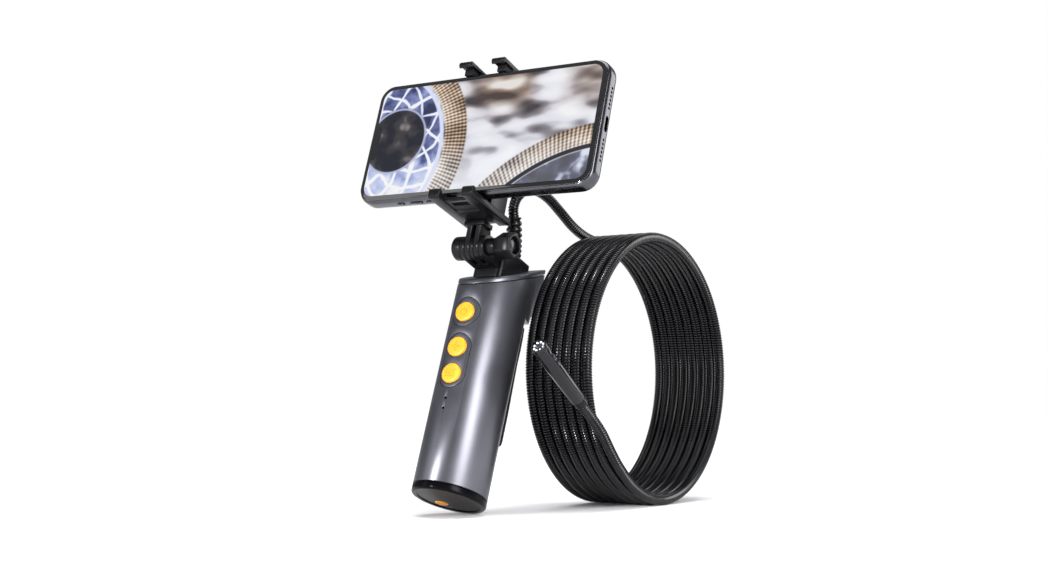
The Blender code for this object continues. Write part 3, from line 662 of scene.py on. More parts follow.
def smooth_curve(knots: Sequence[Sequence[float]], spacing: float) -> list[Vector]:
    """Even points along a Catmull-Rom curve through the knots.

    Args:
        knots: Points that the curve passes.
        spacing: Distance between the points returned.

    Returns:
        The points, the first and last knots included.
    """
    places = [Vector(knot) for knot in knots]
    ends = [2 * places[0] - places[1]] + places + [2 * places[-1] - places[-2]]
    dense: list[Vector] = []
    for a, b, c, d in zip(ends, ends[1:], ends[2:], ends[3:]):
        for i in range(24):
            t = i / 24
            dense.append(0.5 * (2 * b + (c - a) * t + (2 * a - 5 * b + 4 * c - d) * t ** 2
                                + (3 * b - a - 3 * c + d) * t ** 3))
    dense.append(places[-1])
    table = np.array([tuple(point) for point in dense])
    along = np.concatenate(([0.0], np.cumsum(np.linalg.norm(np.diff(table, axis=0), axis=1))))
    count = max(2, round(along[-1] / spacing))
    targets = np.linspace(0.0, along[-1], count + 1)
    columns = [np.interp(targets, along, table[:, k]) for k in range(3)]
    return [Vector(row) for row in np.stack(columns, axis=1)]


@dataclass
class Cable:
    """The ribbed cable: out of the strain relief, round the coil and on to the probe."""

    finishes: Finishes
    diameter: float = 5.8 * MM
    rib_pitch: float = 1.55 * MM
    rib_depth: float = 0.38 * MM
    rib_rings: int = 3
    sides: int = 12
    coil_radius: float = 74.0 * MM
    coil_y: float = 97.2 * MM
    coil_x: float = 28.95 * MM
    coil_turn: float = math.radians(-2.5)
    first_x: float = 7.5 * MM
    turn_pitch: float = 5.9 * MM
    start_turn: float = 0.02
    end_turn: float = 7.5
    lead: Sequence[Point] = (
        (-6.7, 31.2, 159.4), (-6.7, 30.9, 164.7), (-6.0, 33.2, 170.4), (-4.0, 38.6, 174.9),
        (-1.0, 46.4, 175.5), (2.0, 54.4, 171.8), (4.7, 63.6, 164.6), (6.2, 73.4, 158.0),
        (7.2, 84.0, 153.6), (7.9, 94.5, 151.4),
    )
    tail: Sequence[Point] = (
        (51.6, 77.8, 5.5), (51.1, 60.6, 12.3), (50.6, 46.0, 22.9), (50.1, 37.0, 32.0), (49.6, 28.5, 41.6),
        (48.2, 19.5, 50.2), (47.5, 11.3, 56.5),
    )

    def coil_point(self, turns: float) -> Point:
        """A point of the winding, by turns counted from the top."""
        angle = 2 * math.pi * turns
        place = Vector((self.first_x + self.turn_pitch * turns - self.coil_x,
                        self.coil_radius * math.sin(angle), self.coil_radius * math.cos(angle)))
        centre = Vector((self.coil_x, self.coil_y, self.coil_radius + self.diameter / 2))
        return tuple(centre + Matrix.Rotation(self.coil_turn, 3, "Z") @ place)

    def route(self) -> list[Vector]:
        """The whole centreline, from the strain relief to the probe."""
        steps = round((self.end_turn - self.start_turn) * 24)
        share = (self.end_turn - self.start_turn) / steps
        winding = [self.coil_point(self.start_turn + share * i) for i in range(steps + 1)]
        scaled_lead = [tuple(c * MM for c in point) for point in self.lead]
        scaled_tail = [tuple(c * MM for c in point) for point in self.tail]
        return smooth_curve(scaled_lead + winding + scaled_tail, self.rib_pitch / self.rib_rings)

    def ribbed_rings(self, centres: np.ndarray) -> list[np.ndarray]:
        """Rings of points round the centreline, narrower at each groove."""
        tangents = np.gradient(centres, axis=0)
        tangents /= np.linalg.norm(tangents, axis=1)[:, None]
        turns = np.linspace(0, 2 * math.pi, self.sides, endpoint=False)[:, None]
        side = np.cross(tangents[0], (1.0, 0.0, 0.0))
        rings = []
        for k, (centre, tangent) in enumerate(zip(centres, tangents)):
            side = side - tangent * side.dot(tangent)
            side /= np.linalg.norm(side)
            other = np.cross(tangent, side)
            radius = self.diameter / 2 - (0.0 if k % self.rib_rings else self.rib_depth)
            rings.append(centre + radius * (np.cos(turns) * side + np.sin(turns) * other))
        return rings

    def tube(self, rings: list[np.ndarray]) -> bpy.types.Object:
        """A closed tube through the rings."""
        n = self.sides
        faces = []
        for k in range(len(rings) - 1):
            for i in range(n):
                j = (i + 1) % n
                faces.append((k * n + i, k * n + j, (k + 1) * n + j, (k + 1) * n + i))
        last = (len(rings) - 1) * n
        faces.append(tuple(reversed(range(n))))
        faces.append(tuple(last + i for i in range(n)))
        mesh = bpy.data.meshes.new("cable")
        mesh.from_pydata([tuple(point) for point in np.concatenate(rings)], [], faces)
        mesh.update()
        tube = bpy.data.objects.new("cable", mesh)
        bpy.context.scene.collection.objects.link(tube)
        activate(tube)
        bpy.ops.object.mode_set(mode="EDIT")
        bpy.ops.mesh.select_all(action="SELECT")
        bpy.ops.mesh.normals_make_consistent(inside=False)
        bpy.ops.object.mode_set(mode="OBJECT")
        bpy.ops.object.shade_smooth_by_angle(angle=math.radians(33.0))
        return tube

    def build(self, pieces: Sequence[bpy.types.Object]) -> None:
        centres = np.array([tuple(point) for point in self.route()])
        tube = self.tube(self.ribbed_rings(centres))
        finished(tube, self.finishes, Slot.CABLE, Body.GRIP, ("cable_lead", "cable_coil", "probe_lead"))


# ---------------------------------------------------------------- pieces of the object


def joined(first: bpy.types.Object, others: Sequence[bpy.types.Object]) -> bpy.types.Object:
    """Put several meshes into the first one's object, as separate shells."""
    activate(first)
    for other in others:
        other.select_set(True)
    bpy.ops.object.join()
    return bpy.context.object


def copied(piece: bpy.types.Object, move: Vector) -> bpy.types.Object:
    """A copy of a piece with its own mesh, moved by a vector."""
    twin = bpy.data.objects.new(piece.name, piece.data.copy())
    bpy.context.scene.collection.objects.link(twin)
    twin.data.transform(Matrix.Translation(move))
    return twin


@dataclass
class Grip:
    """Oval grip with its rear beak, caps, bezels, rubber pad and buttons."""

    finishes: Finishes
    half_width: float = 18.5 * MM
    half_depth: float = 21.9 * MM
    wall: float = 2.4 * MM
    segments: int = 144
    seam_height: float = 124.3 * MM
    seam_slope: float = 0.56
    cap_thickness: float = 3.2 * MM
    foot_height: float = 4.0 * MM
    seam_gap: float = 0.3 * MM
    beak_half_width: float = 11.2 * MM
    beak_reach: float = 31.8 * MM
    beak_start: float = 18.5 * MM
    beak_low: float = 106.0 * MM
    beak_high: float = 117.5 * MM
    pad_half_width: float = 13.0 * MM
    pad_seat: float = 15.6 * MM
    pad_profile: Sequence[tuple[float, float]] = (
        (36.4, 20.6), (39.0, 21.9), (55.0, 21.8), (72.0, 20.3), (82.0, 19.1), (91.0, 20.3), (98.0, 19.6),
        (103.0, 18.2),
    )
    button_radius: float = 5.4 * MM
    button_front: float = -22.8 * MM
    button_rear: float = -16.6 * MM
    button_heights: Sequence[float] = (96.3 * MM, 76.5 * MM, 61.7 * MM)
    engraving: float = 0.22 * MM
    stroke: float = 0.22
    upper_bezel: tuple[float, float, float] = (88.2 * MM, 104.6 * MM, 8.0 * MM)
    lower_bezel: tuple[float, float, float] = (54.0 * MM, 84.2 * MM, 7.4 * MM)
    light_heights: Sequence[float] = (48.2 * MM, 42.6 * MM)
    light_radius: float = 0.75 * MM

    def oval(self, inset: float, height: float) -> list[Point]:
        """One ring of the grip's oval section."""
        ring = []
        for i in range(self.segments):
            turn = 2 * math.pi * i / self.segments
            ring.append(((self.half_width - inset) * math.cos(turn),
                         (self.half_depth - inset) * math.sin(turn), height))
        return ring

    def seam(self, y: float) -> float:
        """Height of the slanted seam at a depth."""
        return self.seam_height + self.seam_slope * y

    def wedge(self, low_rise: float | None, high_rise: float) -> bpy.types.Object:
        """A slab between two planes along the slanted seam, or from far below."""
        near, far = -60 * MM, 60 * MM
        lows = [-20 * MM if low_rise is None else self.seam(y) + low_rise for y in (near, far)]
        outline = [(near, lows[0]), (far, lows[1]),
                   (far, self.seam(far) + high_rise), (near, self.seam(near) + high_rise)]
        return prism_x("wedge", outline, -60 * MM, 60 * MM)

    def outside(self, name: str, low: float) -> bpy.types.Object:
        """The oval column joined with the beak, open-ended upwards."""
        high = 170 * MM
        body = skin(name, [self.oval(0, low), self.oval(0, high)])
        plan = rounded_rect(self.beak_half_width, self.beak_reach / 2, 4.5 * MM, 10)
        corners = [(x, y + self.beak_reach / 2) for x, y in plan]
        touch = math.radians(21.0)
        inset = 0.05 * MM
        for side in (1, -1):
            corners.append((side * (self.half_width - inset) * math.cos(touch),
                            (self.half_depth - inset) * math.sin(touch)))
        beak = skin("beak", [[(x, y, z) for x, y in hull(corners)] for z in (90 * MM, high)])
        reach = 14.5 * MM
        under = []
        for k in range(13):
            turn = math.pi / 2 * k / 12
            under.append((self.beak_start + reach * (1 - math.cos(turn)),
                          self.beak_low + (self.beak_high - self.beak_low) * math.sin(turn)))
        inner, outer = 5 * MM, 45 * MM
        outline = [(inner, self.beak_low)] + under + [(outer, self.beak_high), (outer, high), (inner, high)]
        work(beak, prism_x("beak_side", outline, -40 * MM, 40 * MM), Cut.KEEP)
        return work(body, beak, Cut.JOIN)

    def pill(self, low: float, high: float, half_width: float, grow: float = 0.0) -> bpy.types.Object:
        """A front-facing cutter with a round-ended face."""
        half_height = (high - low) / 2 + grow
        outline = rounded_rect(half_width + grow, half_height, (half_width + grow) * 0.98, 12)
        middle = (high + low) / 2
        return prism_y("pill", [(x, z + middle) for x, z in outline], -40 * MM, -8 * MM)

    def peg(self, height: float, radius: float, segments: int = 48) -> bpy.types.Object:
        """A front-facing round cutter."""
        front, rear = -40 * MM, -10 * MM
        profile = ((0, radius), (rear - front, radius))
        return turned("peg", (0, front, height), (0, rear, height), profile, segments)

    def build(self) -> None:
        """Make every piece of the grip."""
        self.build_shell()
        self.build_top_cap()
        self.build_foot()
        self.build_bezel("upper_bezel", self.upper_bezel, self.button_heights[:1])
        self.build_bezel("lower_bezel", self.lower_bezel, self.button_heights[1:])
        self.build_pad()
        self.build_buttons()
        self.build_light_guides()

    def place(self, piece: bpy.types.Object, slot: Slot, body: Body, nodes: Sequence[str]) -> None:
        """Stand a piece on the leaning grip and finish it."""
        move_into_place(piece, grip_frame())
        finished(piece, self.finishes, slot, body, nodes)

    def build_shell(self) -> None:
        """The long oval shell, cut off along the slanted seam."""
        shell = self.outside("shell", self.foot_height + self.seam_gap)
        work(shell, self.wedge(None, -self.seam_gap / 2), Cut.KEEP)
        hollow = skin("hollow", [self.oval(self.wall, -5 * MM), self.oval(self.wall, 180 * MM)])
        work(shell, hollow, Cut.REMOVE)
        half = self.pad_half_width + self.seam_gap
        low, high = 36 * MM, 103.4 * MM
        window = prism_y("window", [(-half, low), (half, low), (half, high), (-half, high)],
                         self.pad_seat, 40 * MM)
        work(shell, window, Cut.REMOVE)
        for low, high, half_width in (self.upper_bezel, self.lower_bezel):
            work(shell, self.pill(low, high, half_width, self.seam_gap), Cut.REMOVE)
        for height in self.light_heights:
            work(shell, self.peg(height, self.light_radius, 24), Cut.REMOVE)
        soften(shell, 0.25 * MM, 2, 32.0)
        self.place(shell, Slot.GUNMETAL, Body.GRIP, ("grip_shell",))

    def build_top_cap(self) -> None:
        """The slanted cap over the shell, with a broad bright chamfer."""
        cap = self.outside("top_plate", 60 * MM)
        work(cap, self.wedge(self.seam_gap / 2, self.cap_thickness), Cut.KEEP)
        soften(cap, 0.7 * MM, 3, 32.0)
        self.place(cap, Slot.GUNMETAL, Body.GRIP, ("top_cap",))

    def build_foot(self) -> None:
        """Glossy foot cap with a rounded rim, a groove and the port plug."""
        rings = []
        for inset, z in ((3.2, 0.5), (2.9, 0.1), (1.3, 0.0), (0.75, 0.12), (0.3, 0.45), (0.06, 0.9),
                         (0.0, 1.4), (0.0, 3.1), (0.25, 3.3), (0.25, 3.6), (0.0, 3.8), (0.0, 4.0)):
            rings.append(self.oval(inset * MM, z * MM))
        foot = skin("foot_cap", rings)
        centre = Vector((-8.2, 6.0, 0.0)) * MM
        port = 4.1 * MM
        bore = turned("bore", centre - Vector((0, 0, 2 * MM)), centre + Vector((0, 0, 9 * MM)),
                      ((0, port), (11 * MM, port)), 48)
        work(foot, bore, Cut.REMOVE)
        soften(foot, 0.0)
        self.place(foot, Slot.GLOSS, Body.GRIP, ("base_cap",))
        foot.data.materials[0] = self.finishes.foot
        plug = turned("plug", centre + Vector((0, 0, 0.25 * MM)), centre + Vector((0, 0, 4 * MM)),
                      ((0, 3.2 * MM), (0.15 * MM, 3.6 * MM), (0.5 * MM, 3.8 * MM), (3.7 * MM, 3.8 * MM)), 48)
        half_slot, low, high = 2.2 * MM, -1 * MM, 0.7 * MM
        slot = prism_y("slot", [(centre.x - half_slot, low), (centre.x + half_slot, low),
                                (centre.x + half_slot, high), (centre.x - half_slot, high)],
                       centre.y - 0.4 * MM, centre.y + 0.4 * MM)
        work(plug, slot, Cut.REMOVE)
        soften(plug, 0.08 * MM, 2)
        self.place(plug, Slot.AMBER, Body.GRIP, ("port_plug",))

    def build_bezel(self, node: str, size: tuple[float, float, float], heights: Sequence[float]) -> None:
        """A curved plate let into the front wall, with dished holes for its buttons."""
        low, high, half_width = size
        plate = skin("plate", [self.oval(0, low - 5 * MM), self.oval(0, high + 5 * MM)])
        inside = skin("inside", [self.oval(self.wall, low - 9 * MM), self.oval(self.wall, high + 9 * MM)])
        work(plate, inside, Cut.REMOVE)
        work(plate, self.pill(low, high, half_width), Cut.KEEP)
        for height in heights:
            work(plate, self.peg(height, self.button_radius + 0.25 * MM), Cut.REMOVE)
        soften(plate, 0.3 * MM, 3, 32.0)
        plate.name = f"{node}_plate"
        self.place(plate, Slot.GUNMETAL, Body.GRIP, (node,))

    def build_pad(self) -> None:
        """The wavy rubber strip at the rear, with shallow finger grooves."""
        heights, reaches = zip(*self.pad_profile)
        groove_pitch, groove_depth, end_drop = 4.0, 0.35, 1.0
        shoulder = self.pad_seat + 1.1 * MM
        back = self.pad_seat + 0.3 * MM
        rings = []
        count, across = 134, 32
        for k in range(count + 1):
            z = heights[0] + (heights[-1] - heights[0]) * k / count
            reach = float(np.interp(z, heights, reaches))
            reach -= groove_depth * max(0.0, math.cos(2 * math.pi * z / groove_pitch)) ** 6
            reach -= end_drop * max(0.0, 1.0 - min(k, count - k) / 4.0) ** 2
            ring = []
            for i in range(across + 1):
                turn = math.pi * i / across
                crown = (reach * MM - self.pad_seat) * math.sin(turn) ** 0.8
                ring.append((self.pad_half_width * math.cos(turn), shoulder + crown, z * MM))
            ring.append((-self.pad_half_width, back, z * MM))
            ring.append((self.pad_half_width, back, z * MM))
            rings.append(ring)
        pad = skin("rear_pad", rings)
        soften(pad, 0.0, angle=50.0)
        self.place(pad, Slot.PAD, Body.GRIP, ("grip_pad",))

    def bar(self, height: float, x: float, z: float, half_x: float, half_z: float) -> bpy.types.Object:
        """A shallow rectangular cutter for a pictogram, in millimetres about a button's centre."""
        corners = ((1, 1), (-1, 1), (-1, -1), (1, -1))
        outline = [((x + sx * half_x) * MM, height + (z + sz * half_z) * MM) for sx, sz in corners]
        return prism_y("bar", outline, self.button_front - 1 * MM, self.button_front + self.engraving)

    def hoop(self, height: float, z: float, radius: float, share: float = 0.97) -> bpy.types.Object:
        """A shallow ring-shaped cutter, open at the top, in millimetres about a button's centre."""
        count = 28
        outline = []
        for side in (1, -1):
            reach = (radius + side * self.stroke) * MM
            steps = range(count + 1) if side > 0 else range(count, -1, -1)
            for i in steps:
                turn = math.pi / 2 + math.pi * (1 - share) + 2 * math.pi * share * i / count
                outline.append((reach * math.cos(turn), height + z * MM + reach * math.sin(turn)))
        return prism_y("hoop", outline, self.button_front - 1 * MM, self.button_front + self.engraving)

    def glyph(self, body: Body, height: float) -> list[bpy.types.Object]:
        """Cutters for the plain pictogram on a button: a power sign, a lamp or a lens."""
        if body is Body.POWER:
            return [self.hoop(height, -0.2, 1.9, 0.8), self.bar(height, 0, 1.3, self.stroke, 1.1)]
        if body is Body.LIGHT:
            rays = ((0, 2.2, 0.2, 0.55), (0, -2.2, 0.2, 0.55), (2.2, 0, 0.55, 0.2), (-2.2, 0, 0.55, 0.2))
            return [self.hoop(height, 0, 1.1)] + [self.bar(height, *ray) for ray in rays]
        sides = ((0, 1.6, 2.4, 0.2), (0, -1.9, 2.4, 0.2), (2.4, -0.15, 0.2, 1.95), (-2.4, -0.15, 0.2, 1.95))
        return [self.hoop(height, -0.2, 0.9)] + [self.bar(height, *side) for side in sides]

    def build_buttons(self) -> None:
        """Three round buttons with soft domed faces and engraved pictograms."""
        names = ("power", "light", "capture")
        for body, name, height in zip((Body.POWER, Body.LIGHT, Body.CAPTURE), names, self.button_heights):
            r = self.button_radius
            profile = [(0.0, r * 0.6), (0.03 * MM, r * 0.78), (0.12 * MM, r * 0.88), (0.3 * MM, r * 0.955),
                       (0.6 * MM, r * 0.99), (0.95 * MM, r), (self.button_rear - self.button_front, r)]
            button = turned(f"{name}_key", (0, self.button_front, height), (0, self.button_rear, height),
                            profile, 96)
            for cutter in self.glyph(body, height):
                work(button, cutter, Cut.REMOVE)
            soften(button, 0.0, angle=24.0)
            self.place(button, Slot.AMBER, body, (f"button_{name}",))

    def build_light_guides(self) -> None:
        """Two small status lights behind their holes."""
        for name, height in zip(("light_guide_upper", "light_guide_lower"), self.light_heights):
            front, rear = -20.4 * MM, -13.7 * MM
            profile = ((0, 0.4 * MM), (0.1 * MM, 0.55 * MM), (0.3 * MM, 0.65 * MM), (rear - front, 0.65 * MM))
            guide = turned(f"{name}_rod", (0, front, height), (0, rear, height), profile, 24)
            soften(guide, 0.0)
            self.place(guide, Slot.LENS, Body.GRIP, (name,))


@dataclass
class Hinge:
    """Cable stem, fork, nut cap, collar, knob and the hardware on the tilt axis."""

    finishes: Finishes
    edge: float = 0.35 * MM

    def build(self) -> None:
        """Make every piece of the hinge."""
        for node, slot, width in (("cable_stem", Slot.PLASTIC, 0.5 * MM),
                                  ("hinge_fork", Slot.PLASTIC, self.edge),
                                  ("nut_cap", Slot.PLASTIC, 0.2 * MM),
                                  ("hinge_collar", Slot.PLASTIC, 0.4 * MM),
                                  ("lock_nut", Slot.STEEL, 0.2 * MM)):
            refined(node, self.finishes, slot, Body.GRIP, width)
        refined("lock_knob", self.finishes, Slot.PLASTIC, Body.KNOB, 0.45 * MM, 3)
        refined("tilt_bolt", self.finishes, Slot.STEEL, Body.KNOB, 0.2 * MM)


@dataclass
class Clamp:
    """Screen clamp: body, fins, sliding jaw and pads."""

    finishes: Finishes

    def build(self) -> None:
        """Make the clamp's body, fins, jaw and pads."""
        refined("clamp_body", self.finishes, Slot.PLASTIC, Body.CLAMP, 0.4 * MM)
        refined("hinge_fins", self.finishes, Slot.PLASTIC, Body.CLAMP, 0.35 * MM)
        refined("upper_jaw", self.finishes, Slot.PLASTIC, Body.JAW, 0.45 * MM, 3)
        for side in ("left", "right"):
            refined(f"lower_pad_{side}", self.finishes, Slot.PAD, Body.CLAMP, 0.15 * MM)
            refined(f"upper_pad_{side}", self.finishes, Slot.PAD, Body.JAW, 0.3 * MM)


@dataclass
class Phone:
    """The display: rounded metal frame, glass, lit picture, back with its lenses, and side keys."""

    finishes: Finishes
    half_length: float = 73.0 * MM
    half_height: float = 36.25 * MM
    depth: float = 10.4 * MM
    corner: float = 9.5 * MM
    edge: float = 2.6 * MM
    picture_margin: float = 3.6 * MM

    def ring(self, inset: float, y: float) -> list[Point]:
        """One ring of the phone's outline at a depth."""
        points = rounded_rect(self.half_length - inset, self.half_height - inset, self.corner - inset, 14)
        return [(x, y, z) for x, z in points]

    def place(self, piece: bpy.types.Object, slot: Slot, nodes: Sequence[str]) -> None:
        """Put a piece on the leaning screen and finish it."""
        move_into_place(piece, screen_frame())
        finished(piece, self.finishes, slot, Body.PHONE, nodes)

    def build(self) -> None:
        """Make every piece of the phone."""
        self.build_frame()
        self.build_glass()
        self.build_picture()
        self.build_back()
        self.build_keys()

    def build_frame(self) -> None:
        """Metal frame with round edges, speaker holes and the port."""
        front, rear = 0.9 * MM, self.depth - 0.9 * MM
        step, count = 0.05 * MM, 6
        curve = []
        for k in range(count + 1):
            turn = math.pi / 2 * k / count
            curve.append((self.edge * 0.5 * (1 - math.sin(turn)), step + self.edge * (1 - math.cos(turn))))
        rings = [self.ring(self.edge * 0.62, front)]
        rings += [self.ring(inset, front + rise) for inset, rise in curve]
        rings += [self.ring(inset, rear - rise) for inset, rise in reversed(curve)]
        rings.append(self.ring(self.edge * 0.62, rear))
        frame_piece = skin("phone_rim", rings)
        middle = self.depth / 2 + 0.6 * MM
        cutters = []
        for start in (9.0 * MM, -20.5 * MM):
            for k in range(6):
                z = start + 2.3 * MM * k
                cutters.append(turned("speaker_hole", (self.half_length - 2 * MM, middle, z),
                                      (self.half_length + 2 * MM, middle, z),
                                      ((0, 0.85 * MM), (4 * MM, 0.85 * MM)), 16))
        port = [(y + middle, z) for y, z in rounded_rect(1.45 * MM, 4.5 * MM, 1.4 * MM, 6)]
        cutters.append(prism_x("port", port, self.half_length - 5 * MM, self.half_length + 2 * MM))
        for cutter in cutters:
            work(frame_piece, cutter, Cut.REMOVE)
        soften(frame_piece, 0.0, angle=40.0)
        self.place(frame_piece, Slot.PHONE, ("phone_frame",))

    def build_glass(self) -> None:
        """Black-backed cover glass with a curved edge."""
        edge = ((1.15, 0.88), (1.1, 0.45), (1.2, 0.22), (1.45, 0.07), (1.9, 0.0))
        glass = skin("cover_glass", [self.ring(inset * MM, y * MM) for inset, y in edge])
        soften(glass, 0.0, angle=30.0)
        self.place(glass, Slot.SCREEN, ("phone_glass",))

    def build_picture(self) -> None:
        """The lit picture, a thin panel with a notch at its left end."""
        margin = self.picture_margin
        length, height = self.half_length - margin, self.half_height - margin
        outline = rounded_rect(length, height, 6.2 * MM, 14)
        panel = prism_y("lit_picture", outline, -0.05 * MM, 0.2 * MM)
        notch = rounded_rect(3.3 * MM, 10.5 * MM, 1.9 * MM, 8)
        work(panel, prism_y("notch", [(x - length, z) for x, z in notch], -1 * MM, 1 * MM), Cut.REMOVE)
        layer = panel.data.uv_layers[0]
        for loop in panel.data.loops:
            place = panel.data.vertices[loop.vertex_index].co
            layer.data[loop.index].uv = ((place.x + length) / (2 * length), (place.z + height) / (2 * height))
        move_into_place(panel, screen_frame())
        panel.data.materials.clear()
        panel.data.materials.append(PictureFinish().build())
        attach(panel, Body.PHONE.value)
        LOG.info("lit_picture rides on phone")

    def build_back(self) -> None:
        """Gloss back with a raised square of lenses."""
        rear = self.depth
        rings = [self.ring(1.2 * MM, rear - 0.75 * MM), self.ring(1.15 * MM, rear - 0.4 * MM),
                 self.ring(1.35 * MM, rear - 0.15 * MM), self.ring(1.9 * MM, rear)]
        back = skin("back_glass", rings)
        x, z = -58.0 * MM, 21.5 * MM
        plan = [(px + x, pz + z) for px, pz in rounded_rect(10.0 * MM, 10.0 * MM, 4.0 * MM, 10)]
        square = prism_y("lens_square", plan, rear - 0.3 * MM, rear + 1.0 * MM)
        soften(square, 0.35 * MM, 3)
        work(back, square, Cut.JOIN)
        soften(back, 0.0, angle=30.0)
        self.place(back, Slot.GLOSS, ("phone_back",))
        spots = ((x - 4.3 * MM, z + 4.3 * MM, 3.4), (x - 4.3 * MM, z - 4.3 * MM, 3.4),
                 (x + 4.6 * MM, z + 1.6 * MM, 1.5))
        for k, (px, pz, radius) in enumerate(spots):
            profile = ((0, radius * MM), (0.9 * MM, radius * MM), (1.1 * MM, (radius - 0.3) * MM),
                       (0.7 * MM, (radius - 0.6) * MM), (0.6 * MM, (radius - 0.9) * MM))
            lens = turned(f"back_lens_{k}", (px, rear + 0.7 * MM, pz), (px, rear + 3 * MM, pz), profile, 40)
            soften(lens, 0.0)
            self.place(lens, Slot.LENS if radius > 2 else Slot.LIGHT, ())

    def build_keys(self) -> None:
        """Mute switch and two volume keys on the lower edge."""
        middle = self.depth / 2
        for name, start, end in (("phone_switch", -48.0, -43.5), ("phone_key_up", -39.5, -31.5),
                                 ("phone_key_down", -29.0, -21.0)):
            half = (end - start) / 2 * MM
            centre = (start + end) / 2 * MM
            plan = rounded_rect(half, 0.95 * MM, 0.9 * MM, 6)
            rings = []
            for inset, z in ((0.0, -0.05), (0.0, -0.55), (0.08, -0.68), (0.25, -0.75)):
                shrink = 1 - inset * MM / half
                rings.append([(x * shrink + centre, y * (1 - inset) + middle, z * MM - self.half_height)
                              for x, y in plan])
            key = skin(f"{name}_cap", rings)
            soften(key, 0.0)
            self.place(key, Slot.PHONE, (name,))


